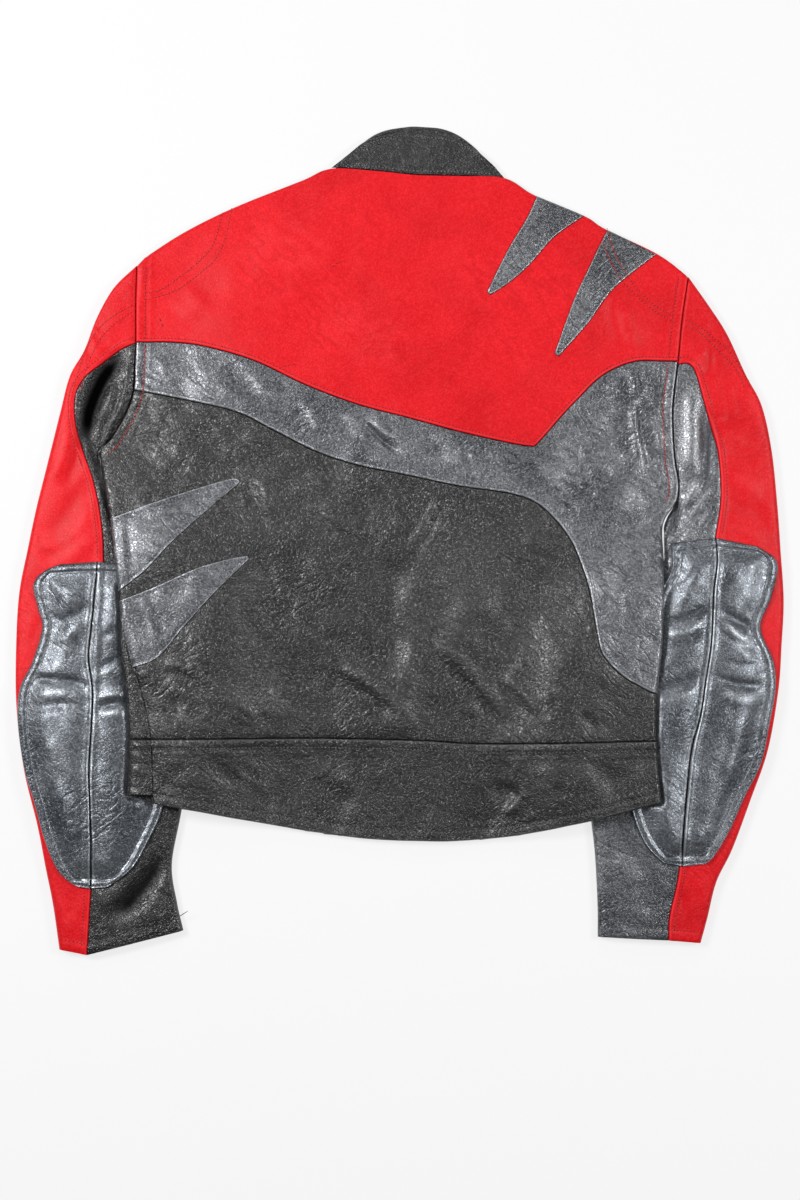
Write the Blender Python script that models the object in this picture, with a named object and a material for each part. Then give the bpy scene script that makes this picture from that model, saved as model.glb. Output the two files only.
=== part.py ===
"""A leather motorcycle jacket, zipped up and laid flat on its front, with its back up.

Lengths are millimetres until a mesh is made. The jacket lies on z = 0, its hem towards -Y.
Left and right are the wearer's, and the wearer's left is towards -X.
"""

import math
from collections import namedtuple

import bpy
import numpy as np
from mathutils import Vector
from mathutils.bvhtree import BVHTree

MM = 0.001

WALL = 2.2                          # one panel: leather with its backing
SEAM = 0.3                          # between two pieces that are sewn together
INSIDE = 1.2                        # between back and front beside a folded edge
MOST_INSIDE = 3.4                   # between back and front at the top of a fold
FOLD_RADIUS = WALL + INSIDE / 2     # outside of a folded edge
EDGE_EASE = 14.0                    # over which the back comes down to the front at a seam
SIDE_LAP = 3.0                      # the left front laps this far on top above the side seam
SLOPE = 95.0                        # over which the body comes down from a sleeve to the floor
ARMHOLE_SPACE = 0.5                 # between body and sleeve in the armhole seam
COLLAR_WALL = 3.0                   # collar leather, folded over its stiffening
ZIP_HALF = 14.0                     # half the width of the zip with its tapes
DART_WALL = 1.2
DART_SPACE = 0.8
PAD_EDGE = 1.8                      # elbow patch thickness at its outline
PAD_CROWN = 4.6                     # what its padding adds to that
PAD_EASE = 16.0                     # over which the padding reaches its full height
PAD_SPACE = 0.45
HEM_STEP = 1.5                      # the fronts end this far above the back's hem
LAP_EASE = 30.0                     # over which the lap grows below the underarm
LAP_CLEAR = 0.8                     # between the lap's edge and the end of its fold
LAP_SEAM_TOP = -60.0                # from here down the side seam lies on the back
UNDERARM_STEP = 1.0                 # the grid row at the underarm still belongs to the armhole
INSIDE_LOFT = 0.7                   # what the middle of the body adds to the space inside
LOFT_EASE = 90.0                    # over which that is reached from either side
LEAST_INSIDE = 0.7
NECK_EASE = 12.0
UNDERARM_EASE = 25.0                # over which a sewn armhole becomes a folded side
CALM_START = 8.0                    # the folds of the back begin this far in from the left edge
CALM_EASE = 30.0
FOLD_SHARPNESS = 4.0                # a fold has faded to nothing at its width
COLLAR_EDGE_DROP = 0.8              # the collar is thinner along its top edge
SLEEVE_FULLNESS = 0.8               # under 1 it fills the sleeve's section towards its edges
PAD_SEAM_DIP = 0.45                 # share of the padding that is pressed in at its middle seam
PAD_CREASE_DIP = 0.35               # and at the crease of the elbow
SHARP_ANGLE = 40.0                  # degrees, above which an edge is drawn sharp
MEET_ROUNDS = 30

Side = namedtuple("Side", "y x")
Point = namedtuple("Point", "x y")
Lift = namedtuple("Lift", "y height reach")
Fold = namedtuple("Fold", "x0 y0 x1 y1 width height")
Section = namedtuple(
    "Section", "outer_x outer_y seam_x seam_y inner_x inner_y bow loft"
)
PadRow = namedtuple("PadRow", "outer_x outer_y mid_x mid_y inner_x inner_y crease")
Level = namedtuple("Level", "left right")

# The armhole from the shoulder down to the underarm, then the side down to the hem.
LEFT_SIDE = (
    Side(261, -250), Side(224, -251), Side(188, -251), Side(165, -252), Side(142, -253),
    Side(121, -260), Side(97, -274), Side(82, -285), Side(43, -279), Side(5, -272),
    Side(-60, -265), Side(-102, -264), Side(-138, -259), Side(-188, -256), Side(-242, -258),
)
RIGHT_SIDE = (
    Side(250, 274), Side(209, 268), Side(168, 264), Side(145, 261), Side(121, 259),
    Side(91, 260), Side(70, 262), Side(52, 265), Side(35, 262), Side(15, 250),
    Side(-25, 250), Side(-98, 248), Side(-146, 243), Side(-190, 242), Side(-248, 247),
)
LEFT_UNDERARM = 82.0
RIGHT_UNDERARM = 15.0

# The left side seam, where it comes round on top of the back.
SIDE_SEAM = (
    Side(-60, -260), Side(-85, -257), Side(-126, -249), Side(-160, -240), Side(-189, -234),
    Side(-249, -232),
)

SHOULDERS = (
    Point(-290, 225), Point(-250, 261), Point(-239, 271), Point(-203, 294), Point(-156, 317),
    Point(-93, 342), Point(-66, 353), Point(-19, 350.5), Point(15, 347), Point(55, 346),
    Point(100, 344), Point(128, 328), Point(176, 308), Point(195, 296), Point(245, 272),
    Point(274, 250), Point(300, 226),
)
NECK_LEFT = -82.0
NECK_RIGHT = 116.0
FRONT_NECK = (
    Point(-300, 225), Point(-250, 261), Point(-239, 271), Point(-203, 294), Point(-156, 317),
    Point(-93, 342), Point(-66, 352), Point(-40, 340), Point(-10, 333), Point(19, 331),
    Point(48, 332), Point(78, 336), Point(100, 343), Point(128, 328), Point(176, 308),
    Point(195, 296), Point(245, 272), Point(274, 250), Point(300, 226),
)
YOKE_SEAM = (
    Point(-290, 189), Point(-249, 188), Point(-186, 184), Point(-138, 170), Point(-89, 147),
    Point(-41, 129), Point(8, 116), Point(56, 103), Point(104, 92), Point(128, 88),
    Point(153, 117), Point(192, 156), Point(221, 169), Point(266, 168), Point(300, 168),
)
BAND_EDGE = (
    Point(-290, 145), Point(-252, 142), Point(-186, 129), Point(-152, 120), Point(-118, 103),
    Point(-80, 84), Point(-41, 71), Point(8, 61), Point(56, 51), Point(104, 44),
    Point(129, 35), Point(148, 18), Point(162, -1), Point(171, -22), Point(179, -49),
    Point(187, -97), Point(194, -113), Point(210, -129), Point(225, -138), Point(244, -146),
    Point(290, -150),
)
WAIST_SEAM = (
    Point(-290, -188), Point(-235, -188), Point(-85, -188), Point(19, -190), Point(72, -193),
    Point(144, -192), Point(238, -190), Point(290, -190),
)
HEM = (
    Point(-290, -238), Point(-258, -242), Point(-234, -249), Point(-184, -258),
    Point(-139, -267), Point(-85, -277), Point(-29, -284), Point(19, -286), Point(54, -286),
    Point(108, -281), Point(162, -270), Point(200, -261), Point(247, -248), Point(290, -238),
)
COLLAR_SEAM = (
    Point(-60, 354.5), Point(-19, 351.5), Point(15, 348), Point(55, 347), Point(99, 345),
)
COLLAR_TOP = (
    Point(-35, 378), Point(-19, 383), Point(1, 387), Point(23, 386), Point(47, 383),
    Point(63, 377), Point(77, 368),
)
COLLAR_FRONT_SEAM = (
    Point(-62, 354), Point(-40, 342.2), Point(-10, 335.2), Point(19, 333), Point(48, 334),
    Point(78, 338.4), Point(98, 345.5),
)
COLLAR_FRONT_TOP = (
    Point(-51, 363), Point(-32, 381), Point(-16, 389.5), Point(6, 393.6), Point(23, 393.6),
    Point(39, 392), Point(55, 386), Point(70, 375), Point(78, 367), Point(91, 355),
)

# How high the body lies over each sleeve, and how far in that height reaches.
LEFT_LIFT = (
    Lift(82, 0, -272), Lift(65, 3.4, -266), Lift(48, 6.8, -258), Lift(20, 9.4, -242),
    Lift(-12, 14.8, -226), Lift(-70, 15.0, -200), Lift(-160, 15.0, -190),
    Lift(-250, 14.0, -192), Lift(-300, 14.0, -192),
)
RIGHT_LIFT = (
    Lift(15, 0, 246), Lift(-3, 3.6, 240), Lift(-19, 7.2, 232), Lift(-35, 11.0, 222),
    Lift(-50, 14.8, 212), Lift(-110, 15.0, 188), Lift(-200, 15.0, 174),
    Lift(-300, 14.0, 174),
)

# The largest folds of the back: a positive height is a ridge, a negative one a trough.
FOLDS = (
    Fold(7, -20, 6, -185, 24, 1.0),
    Fold(32, -92, 109, -180, 22, 1.4),
    Fold(-70, -112, 20, -182, 22, 1.4),
    Fold(94, -128, 130, -165, 18, 1.0),
    Fold(166, -165, 186, -182, 18, -1.0),
    Fold(217, 163, 226, 126, 18, -1.2),
    Fold(226, 126, 236, 50, 20, -1.2),
    Fold(204, 233, 217, 176, 16, -0.9),
    Fold(-262, 128, -214, 100, 18, 1.0),
    Fold(-186, -208, -150, -240, 20, -1.0),
    Fold(-85, -232, -44, -262, 20, -1.0),
    Fold(116, -232, 97, -262, 18, 1.2),
    Fold(-190, 240, -214, 214, 90, 0.9),
    Fold(214, 240, 226, 214, 90, 0.9),
)

LEFT_SLEEVE = (
    Section(-250.5, 261, -251, 187, -286.5, 81, 1.0, 0.0),
    Section(-272, 240, -266, 180, -286.3, 78, 0.6, 0.1),
    Section(-288, 212, -283, 167, -285.8, 75, 0.4, 0.3),
    Section(-300, 181, -299, 154, -285.1, 72, 0.3, 0.5),
    Section(-314, 156, -308, 137, -284.6, 69, 0.12, 0.7),
    Section(-323, 122, -308, 112, -284, 65, 0, 0.9),
    Section(-331, 90, -301, 85, -282.5, 59, 0, 1.0),
    Section(-338, 62, -292, 60, -278, 47, 0, 1.2),
    Section(-346, 30, -285, 30, -257, 18, 0, 1.4),
    Section(-354, -8, -281, -5, -232, -28, 0, 1.7),
    Section(-362, -49, -281, -53, -216, -71, 0, 1.8),
    Section(-365, -95, -283, -100, -205, -112, 0, 1.8),
    Section(-365, -156, -285, -157, -199.5, -162, 0, 1.8),
    Section(-358, -217, -288, -217, -200, -214, 0, 1.8),
    Section(-345, -271, -290, -272, -209, -264, 0, 1.8),
    Section(-337, -312, -292, -315, -217, -309, 0, 1.6),
    Section(-330, -347, -294, -350, -212, -345, 0, 1.4),
    Section(-324, -389, -297, -394, -206, -371, 0, 1.0),
)
RIGHT_SLEEVE = (
    Section(274.5, 250, 264.5, 167, 252.5, 13, 1.0, 0.0),
    Section(295, 221, 274.5, 167, 251.5, 6.5, 0.8, 0.1),
    Section(311.5, 195, 281, 158, 251.3, 0, 0.55, 0.3),
    Section(329, 157, 288, 133, 251.3, -6.5, 0.3, 0.5),
    Section(344, 128, 294.5, 110, 251.3, -13, 0.12, 0.7),
    Section(353.5, 85.5, 302, 80, 250.5, -20, 0, 1.0),
    Section(359, 33, 304, 38, 242, -35, 0, 1.2),
    Section(362, -9.5, 298, -5, 222, -59, 0, 1.5),
    Section(365, -57, 293.5, -57, 205, -87, 0, 1.7),
    Section(363, -100, 289, -103, 194, -121, 0, 1.8),
    Section(360, -142.5, 283, -147, 186, -163, 0, 1.8),
    Section(350, -199.5, 275.5, -204, 180.5, -214, 0, 1.8),
    Section(333.5, -247, 270, -252, 180.5, -253, 0, 1.8),
    Section(316, -294, 266, -299, 185, -294.5, 0, 1.8),
    Section(301, -325, 262, -328, 187, -327, 0, 1.6),
    Section(292.5, -359, 255.5, -357, 188, -353, 0, 1.4),
    Section(286, -383, 254.5, -380, 188, -377, 0, 1.0),
)

LEFT_PAD = (
    PadRow(-336, -29, -286, -23, -248, -28, 0),
    PadRow(-346, -46, -288.5, -50, -231, -47, 0),
    PadRow(-340, -81, -292, -84, -243, -84, 0),
    PadRow(-347, -116, -294.5, -112, -238, -114, 1.0),
    PadRow(-358, -142, -291, -139, -225, -142, 0.7),
    PadRow(-359.5, -176, -291, -166, -220, -180, 0),
    PadRow(-353, -217, -294, -214, -221, -218, 0),
    PadRow(-344, -250, -293, -252, -225, -255, 0),
    PadRow(-337, -286, -292, -285, -238, -285, 0),
    PadRow(-325, -313, -292.5, -310, -253, -311, 0),
    PadRow(-311, -326, -293, -328, -274, -327, 0),
)
RIGHT_PAD = (
    PadRow(339, -6, 299, 2, 257, -3, 0),
    PadRow(358, -22, 300, -19, 256.5, -28, 0),
    PadRow(352, -55, 296.5, -49, 243, -57, 0.7),
    PadRow(342, -83, 295.5, -80, 237, -84, 1.0),
    PadRow(354, -114, 293.5, -104.5, 230, -109, 0.4),
    PadRow(356.5, -141, 289, -134, 220, -142, 1.0),
    PadRow(351, -173, 284, -166, 215.5, -180, 0),
    PadRow(343, -211, 275.5, -199.5, 214.5, -218, 0),
    PadRow(327, -244, 271, -241, 219, -255, 0),
    PadRow(311, -279, 268, -277, 231, -287, 0),
    PadRow(294, -304, 267, -306, 247, -304, 0),
)

# Each pointed insert lies between two edges that meet at its point.
SHOULDER_DARTS = (
    (
        "dart_shoulder_inner",
        (Point(130, 323), Point(120, 305), Point(105, 280), Point(91, 253), Point(83, 236)),
        (Point(173, 306), Point(146, 287), Point(123, 261), Point(105, 245), Point(86, 233)),
    ),
    (
        "dart_shoulder_outer",
        (Point(196, 290), Point(189, 279), Point(179, 258), Point(165, 228), Point(147, 178)),
        (Point(238, 268), Point(211, 246), Point(197, 232), Point(177, 204), Point(150, 174)),
    ),
)
SIDE_DARTS = (
    (
        "dart_side_upper",
        (Point(-269, 22), Point(-232, 36), Point(-192, 49), Point(-161, 58), Point(-154, 58)),
        (Point(-259, -49), Point(-240, -29), Point(-214, -1), Point(-182, 29), Point(-152, 55)),
    ),
    (
        "dart_side_lower",
        (Point(-259, -57), Point(-230, -44), Point(-192, -27), Point(-161, -18), Point(-145, -15)),
        (Point(-252, -119), Point(-228, -111), Point(-206, -85), Point(-176, -51), Point(-143, -18)),
    ),
)

# The rows between the two seams of a panel: where each meets the left and the right edge.
YOKE_LEVELS = (
    Level(196, 177), Level(206, 187), Level(216, 198), Level(224, 209), Level(233, 219),
    Level(243, 229), Level(252, 240),
)
BAND_LEVELS = (
    Level(146, -98), Level(149, -60), Level(153, -25), Level(157, 15), Level(161, 35),
    Level(165, 52), Level(169, 70), Level(173, 91), Level(178, 121), Level(183, 145),
)
LOWER_LEVELS = (
    Level(-162, -186), Level(-138, -182), Level(-102, -178), Level(-60, -174), Level(-26, -170),
    Level(5, -166), Level(43, -162), Level(82, -158), Level(97, -154), Level(121, -150),
)
BACK_HEM_LEVELS = (Level(-224, -228), Level(-206, -209))
LEFT_HEM_LEVELS = (Level(-240, -215),)
RIGHT_HEM_LEVELS = (Level(-240, -218),)
LEFT_FRONT_LEVELS = (-162, -138, -102, -60, -26, 5, 43, 82, 97, 121, 142, 165, 188, 224)
RIGHT_FRONT_LEVELS = (-146, -98, -60, -25, 15, 35, 52, 70, 91, 121, 145, 168, 209)

BACK_SHARES = np.concatenate(
    [np.linspace(0.0, 0.72, 15), [0.76, 0.79, 0.815, 0.835, 0.85, 0.87, 0.9, 0.94, 1.0]]
)
FRONT_SHARES = np.linspace(0.0, 1.0, 10)
PAD_SHARES = np.array([0.0, 0.12, 0.3, 0.55, 0.8, 1.0])
FOLD_ANGLES = (60.0, 30.0, 0.0, -30.0, -60.0, -90.0)

RED = (0.72, 0.02, 0.035, 1.0)
GREY = (0.11, 0.13, 0.16, 1.0)
BLACK = (0.035, 0.035, 0.038, 1.0)


def ease(share):
    """Go from 0 to 1 with no slope at either end."""
    share = np.clip(share, 0.0, 1.0)
    return share * share * (3.0 - 2.0 * share)


def smooth_line(points, steps=6):
    """Run a Catmull-Rom curve through the points."""
    line = np.array([tuple(point) for point in points], float)
    before = np.vstack([line[:1] * 2 - line[1:2], line[:-2]])
    after = np.vstack([line[2:], line[-1:] * 2 - line[-2:-1]])
    start, end = line[:-1], line[1:]
    pieces = []
    for step in range(steps):
        t = step / steps
        pieces.append(
            0.5 * (2 * start + (end - before) * t
                   + (2 * before - 5 * start + 4 * end - after) * t ** 2
                   + (3 * start - before - 3 * end + after) * t ** 3)
        )
    woven = np.stack(pieces, axis=1).reshape(-1, line.shape[1])
    return np.vstack([woven, line[-1:]])


def height_over(points):
    """Make y a function of x along a smooth line through the points."""
    line = smooth_line(points)

    def height(x):
        return np.interp(x, line[:, 0], line[:, 1])

    return height


def side_line(rows):
    """Make x a function of y along straight stretches between the rows."""
    ys = np.array([row.y for row in rows])[::-1]
    xs = np.array([row.x for row in rows])[::-1]

    def across(y):
        return np.interp(y, ys, xs)

    return across


left_edge = side_line(LEFT_SIDE)
right_edge = side_line(RIGHT_SIDE)
side_seam = side_line(SIDE_SEAM)
shoulder_line = height_over(SHOULDERS)
front_top = height_over(FRONT_NECK)
yoke_seam = height_over(YOKE_SEAM)
band_edge = height_over(BAND_EDGE)
waist_seam = height_over(WAIST_SEAM)
hem_line = height_over(HEM)


def front_hem(x):
    """The fronts end just above the back's hem."""
    return hem_line(x) + HEM_STEP


def middle(y):
    """The line down the middle of the body, which lies a little askew."""
    return 6.0 + 0.038 * y


def lap_edge(y):
    """The edge of the left front where it laps round on top."""
    lap = SIDE_LAP * ease((LEFT_UNDERARM - y) / LAP_EASE)
    upper = left_edge(y) + FOLD_RADIUS + lap + LAP_CLEAR
    return np.where(y < LAP_SEAM_TOP, np.maximum(side_seam(y), upper), upper)


def back_left(y):
    """The left edge of the back: the armhole, and below it the side seam on top."""
    return np.where(y > LEFT_UNDERARM + UNDERARM_STEP, left_edge(y), lap_edge(y) + SEAM)


def lift(x, y):
    """How far the body's underside is off the floor, where it lies over a sleeve."""
    total = 0.0
    for rows, side in ((LEFT_LIFT, -1.0), (RIGHT_LIFT, 1.0)):
        ys = np.array([row.y for row in rows])[::-1]
        height = np.interp(y, ys, np.array([row.height for row in rows])[::-1])
        reach = np.interp(y, ys, np.array([row.reach for row in rows])[::-1])
        total = total + height * (1.0 - ease(side * (reach - x) / SLOPE))
    return total


def fold_height(x, y):
    """Add up the folds: each is a soft ridge along a line that fades at both its ends."""
    total = 0.0
    for fold in FOLDS:
        along_x, along_y = fold.x1 - fold.x0, fold.y1 - fold.y0
        length = math.hypot(along_x, along_y)
        share = ((x - fold.x0) * along_x + (y - fold.y0) * along_y) / length ** 2
        aside = ((x - fold.x0) * along_y - (y - fold.y0) * along_x) / length
        beyond = (np.clip(share, 0.0, 1.0) - share) * length
        distance = np.hypot(aside, beyond)
        total = total + fold.height * np.exp(-((distance / fold.width) ** 2) * FOLD_SHARPNESS)
    return total


def room(x, y):
    """The space between back and front, which closes at the shoulder and side seams."""
    from_left = x - left_edge(y)
    from_right = right_edge(y) - x
    neck = ease((x - NECK_LEFT) / NECK_EASE) * ease((NECK_RIGHT - x) / NECK_EASE)
    top = np.maximum(neck, ease((shoulder_line(x) - y) / EDGE_EASE))
    in_armhole = ease((y - RIGHT_UNDERARM) / UNDERARM_EASE)
    at_right = np.maximum(ease(from_right / EDGE_EASE), in_armhole)
    above = ease((y - LEFT_UNDERARM) / UNDERARM_EASE)
    calm = np.maximum(ease((from_left - CALM_START) / CALM_EASE), above)
    loft = INSIDE_LOFT * ease(from_left / LOFT_EASE) * ease(from_right / LOFT_EASE)
    inside = INSIDE + calm * (loft + fold_height(x, y))
    inside = np.clip(inside, LEAST_INSIDE, MOST_INSIDE)
    return SEAM + (inside - SEAM) * top * at_right


def back_top(x, y):
    """The height of the back's upper face."""
    return lift(x, y) + 2.0 * WALL + room(x, y)


def meet(curve, left, right, share):
    """Find where each share of the width meets a curve; returns the heights and slopes.

    Each round moves the places along the curve that they had met before, until they stay.
    """
    y = np.zeros_like(share)
    for _ in range(MEET_ROUNDS):
        x = left(y) * (1.0 - share) + right(y) * share
        y = curve(x)
    slope = (curve(x + 1.0) - curve(x - 1.0)) / 2.0
    return y, slope


def panel_grid(left, right, low, high, shares, levels, space_low=SEAM, space_high=SEAM):
    """Lay a grid of x and y between two sides and two curves.

    levels holds (y on the left edge, y on the right edge) for each row between the curves.
    """
    y_low, slope_low = meet(low, left, right, shares)
    y_high, slope_high = meet(high, left, right, shares)
    y_low = y_low + space_low / 2.0 * np.hypot(1.0, slope_low)
    y_high = y_high - space_high / 2.0 * np.hypot(1.0, slope_high)
    pairs = [(y_low[0], y_low[-1])] + list(levels) + [(y_high[0], y_high[-1])]
    pairs = np.array(pairs, float)
    from_left = (pairs[:, 0] - y_low[0]) / (y_high[0] - y_low[0])
    from_right = (pairs[:, 1] - y_low[-1]) / (y_high[-1] - y_low[-1])
    share = from_left[:, None] * (1.0 - shares) + from_right[:, None] * shares
    y = y_low * (1.0 - share) + y_high * share
    x = left(y) * (1.0 - shares) + right(y) * shares
    return x, y


def material(name, colour, roughness):
    """Make one leather or cloth finish."""
    finish = bpy.data.materials.new(name)
    finish.use_nodes = True
    shader = finish.node_tree.nodes["Principled BSDF"]
    shader.inputs["Base Color"].default_value = colour
    shader.inputs["Roughness"].default_value = roughness
    finish.diffuse_color = colour
    return finish


def shell(name, outside, inside, colour, roughness=0.45, kept=None):
    """Close the wall between two grids of points into one solid and name it.

    kept says which cells of the grid are there; with None all of them are.
    """
    rows, columns = outside.shape[:2]
    if kept is None:
        kept = np.ones((rows - 1, columns - 1), bool)
    used = np.zeros((rows, columns), bool)
    for down in (0, 1):
        for over in (0, 1):
            used[down:rows - 1 + down, over:columns - 1 + over] |= kept
    index = np.full((rows, columns), -1)
    index[used] = np.arange(used.sum())
    inner_start = int(used.sum())
    points = np.vstack([outside[used], inside[used]]) * MM
    faces = []
    for row, column in zip(*np.nonzero(kept)):
        corners = [(row, column), (row, column + 1), (row + 1, column + 1), (row + 1, column)]
        a, b, c, d = (int(index[corner]) for corner in corners)
        faces += [(a, b, c), (a, c, d)]
        faces += [tuple(inner_start + i for i in (c, b, a)), tuple(inner_start + i for i in (d, c, a))]
        neighbours = ((row - 1, column), (row, column + 1), (row + 1, column), (row, column - 1))
        for (p, q), (over_row, over_column) in zip(((a, b), (b, c), (c, d), (d, a)), neighbours):
            in_grid = 0 <= over_row < rows - 1 and 0 <= over_column < columns - 1
            if in_grid and kept[over_row, over_column]:
                continue
            faces += [(q, p, inner_start + p), (q, inner_start + p, inner_start + q)]
    corner = points[np.array(faces)]
    volume = np.einsum("ij,ij->i", corner[:, 0], np.cross(corner[:, 1], corner[:, 2])).sum()
    if volume < 0:
        faces = [face[::-1] for face in faces]
    mesh = bpy.data.meshes.new(name)
    mesh.from_pydata(points.tolist(), [], faces)
    mesh.shade_smooth()
    mesh.set_sharp_from_angle(angle=math.radians(SHARP_ANGLE))
    mesh.materials.append(material(name, colour, roughness))
    piece = bpy.data.objects.new(name, mesh)
    bpy.context.scene.collection.objects.link(piece)
    return piece


def stack(x, y, z):
    """Join three grids into one grid of points."""
    return np.stack([x, y, np.broadcast_to(z, x.shape)], axis=-1)


def back_panel(name, colour, low, high, levels, **spaces):
    """One panel of the back, whose wall follows the folds."""
    x, y = panel_grid(back_left, right_edge, low, high, BACK_SHARES, levels, **spaces)
    top = back_top(x, y)
    return shell(name, stack(x, y, top), stack(x, y, top - WALL), colour)


def front_panel(name, left, right, low, high, levels, **spaces):
    """One flat panel of the front, which lies on the floor or over a sleeve."""
    x, y = panel_grid(left, right, low, high, FRONT_SHARES, levels, **spaces)
    under = lift(x, y)
    return shell(name, stack(x, y, under), stack(x, y, under + WALL), BLACK)


def lapped_panel(name, low, high, levels, **spaces):
    """A panel of the left front: flat below, round the side fold, and flat on top.

    Above the underarm there is no fold, and the panel ends in the armhole.
    """

    def bottom_edge(y):
        return left_edge(y) + FOLD_RADIUS * (y < LEFT_UNDERARM + UNDERARM_STEP)

    def zip_edge(y):
        return middle(y) - ZIP_HALF - SEAM

    x, y = panel_grid(zip_edge, bottom_edge, low, high, FRONT_SHARES, levels, **spaces)
    under = lift(x, y)
    outside = [stack(x, y, under)]
    inside = [stack(x, y, under + WALL)]
    side_y = y[:, -1:]
    centre_x = left_edge(side_y) + FOLD_RADIUS
    centre_z = lift(centre_x, side_y) + FOLD_RADIUS
    for angle in reversed(FOLD_ANGLES[:-1]):
        turn = math.radians(angle)
        for radius, points in ((FOLD_RADIUS, outside), (FOLD_RADIUS - WALL, inside)):
            fold_x = centre_x - radius * math.cos(turn)
            points.append(stack(fold_x, side_y, centre_z + radius * math.sin(turn)))
    lap_x = lap_edge(side_y)
    for share in (0.0, 0.5, 1.0):
        x_top = centre_x * (1.0 - share) + lap_x * share
        top = back_top(x_top, side_y)
        outside.append(stack(x_top, side_y, top))
        inside.append(stack(x_top, side_y, top - WALL))
    outside = np.concatenate(outside, axis=1)
    inside = np.concatenate(inside, axis=1)
    kept = np.ones((outside.shape[0] - 1, outside.shape[1] - 1), bool)
    above = side_y[1:, 0] > LEFT_UNDERARM + UNDERARM_STEP
    kept[above, len(FRONT_SHARES) - 1:] = False
    return shell(name, outside, inside, BLACK, kept=kept)


def band_between(name, lower, upper, z_low, z_high, count=12, rows=3):
    """A flat strip between two smooth lines, for the collar."""
    low = smooth_line(lower)
    high = smooth_line(upper)
    share = np.linspace(0.0, 1.0, count)
    ends = []
    for line in (low, high):
        along = np.linspace(0.0, 1.0, len(line))
        ends.append(np.stack([np.interp(share, along, line[:, k]) for k in (0, 1)], axis=1))
    up = np.linspace(0.0, 1.0, rows)[:, None, None]
    flat = ends[0] * (1.0 - up) + ends[1] * up
    x, y = flat[..., 0], flat[..., 1]
    crown = z_high - COLLAR_EDGE_DROP * (up[..., 0] == 1.0)
    return shell(name, stack(x, y, crown), stack(x, y, z_low), BLACK)


def directions_across(points):
    """Unit directions across a line that runs down: they point towards +X."""
    along = np.gradient(points, axis=0)
    across = np.stack([-along[:, 1], along[:, 0]], axis=1)
    return across / np.linalg.norm(across, axis=1)[:, None]


def armhole_points(edge, start, end, shares):
    """Points down an armhole from one height to another, clear of the body."""
    y = start + (end - start) * shares
    slope = (edge(y + 1.0) - edge(y - 1.0)) / 2.0
    side = np.sign(edge(y))
    return np.stack([edge(y) + side * ARMHOLE_SPACE * np.hypot(1.0, slope), y], axis=1)


def sleeve_half(lines, edge, fold_points, shares):
    """The flat part of one sleeve piece, from the seam to the centre of the folded edge.

    Near the armhole the straight rows bow out until they follow it, and the last fifth of the
    armhole closes onto the fold.
    """
    seam = lines["seam"]
    flat = seam[:, None] * (1.0 - shares[:, None]) + fold_points[:, None] * shares[:, None]
    arm = armhole_points(edge, seam[0, 1], fold_points[0, 1], shares)
    closing = fold_points[0, 0] - arm[-1, 0]
    arm[:, 0] += closing * ease((shares - 0.8) / 0.2)
    bow = arm - flat[0]
    return flat + lines["bow"][:, None, None] * bow


def armhole_shares(side_rows, seam_y, end_y):
    """The armhole's own corners, as shares of the way from the sleeve seam to the underarm.

    Corners right beside either end are left out, so that no sliver of a face is made there.
    """
    inner = [row.y for row in side_rows if end_y + 4.0 < row.y < seam_y - 2.0]
    return np.array([0.0] + [(seam_y - y) / (seam_y - end_y) for y in inner] + [1.0])


def sleeve(side, sections, edge, side_rows, colours):
    """A sleeve of two pieces, each folded round its own edge and seamed above and below."""
    table = np.array([tuple(section) for section in sections], float)
    lines = {
        "outer": table[:, 0:2], "seam": table[:, 2:4], "inner": table[:, 4:6],
        "bow": table[:, 6],
    }
    loft = table[:, 7]
    to_body = np.sign(lines["inner"][-1, 0] - lines["outer"][-1, 0])
    outward = -to_body * directions_across(lines["outer"])
    outward[0] = (0.0, 1.0)
    inward = to_body * directions_across(lines["inner"])
    for towards, name in ((outward, "outer"), (inward, "inner")):
        lines[name + "_fold"] = lines[name] - FOLD_RADIUS * towards
    seam_across = -to_body * directions_across(lines["seam"])
    full = np.linalg.norm(lines["outer"] - lines["seam"], axis=1)
    full = full + np.linalg.norm(lines["inner"] - lines["seam"], axis=1)
    pieces = []
    parts = (
        ("outer", outward, np.linspace(0.0, 1.0, 4), 1.0),
        ("inner", inward, armhole_shares(side_rows, table[0, 3], lines["inner_fold"][0, 1]), -1.0),
    )
    for which, towards, shares, seam_side in parts:
        flat = sleeve_half(lines, edge, lines[which + "_fold"], shares)
        flat[:, 0] += seam_side * SEAM / 2.0 * seam_across * (lines["bow"] < 1.0)[:, None]
        flat[0, 0, 1] += seam_side * SEAM / 2.0
        from_edge = np.linalg.norm(flat - lines[which][:, None], axis=2)
        share = np.clip(from_edge / full[:, None], 0.0, 1.0)
        full_section = np.sin(math.pi * share) ** SLEEVE_FULLNESS
        raised = 2.0 * WALL + INSIDE + loft[:, None] * full_section
        raised[:, -1] = 2.0 * FOLD_RADIUS
        x, y = flat[..., 0], flat[..., 1]
        outside = [stack(x, y, raised)]
        inside = [stack(x, y, raised - WALL)]
        centre = lines[which + "_fold"]
        for angle in FOLD_ANGLES[:-1]:
            turn = math.radians(angle)
            for radius, points in ((FOLD_RADIUS, outside), (FOLD_RADIUS - WALL, inside)):
                place = centre + radius * math.cos(turn) * towards
                height = FOLD_RADIUS + radius * math.sin(turn)
                points.append(stack(place[:, :1], place[:, 1:], height))
        outside.append(stack(x[:, ::-1], y[:, ::-1], 0.0))
        inside.append(stack(x[:, ::-1], y[:, ::-1], WALL))
        name = f"sleeve_{side}_" + ("outer" if which == "outer" else "under")
        pieces.append(
            shell(name, np.concatenate(outside, axis=1), np.concatenate(inside, axis=1), colours[which])
        )
    return pieces


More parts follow.
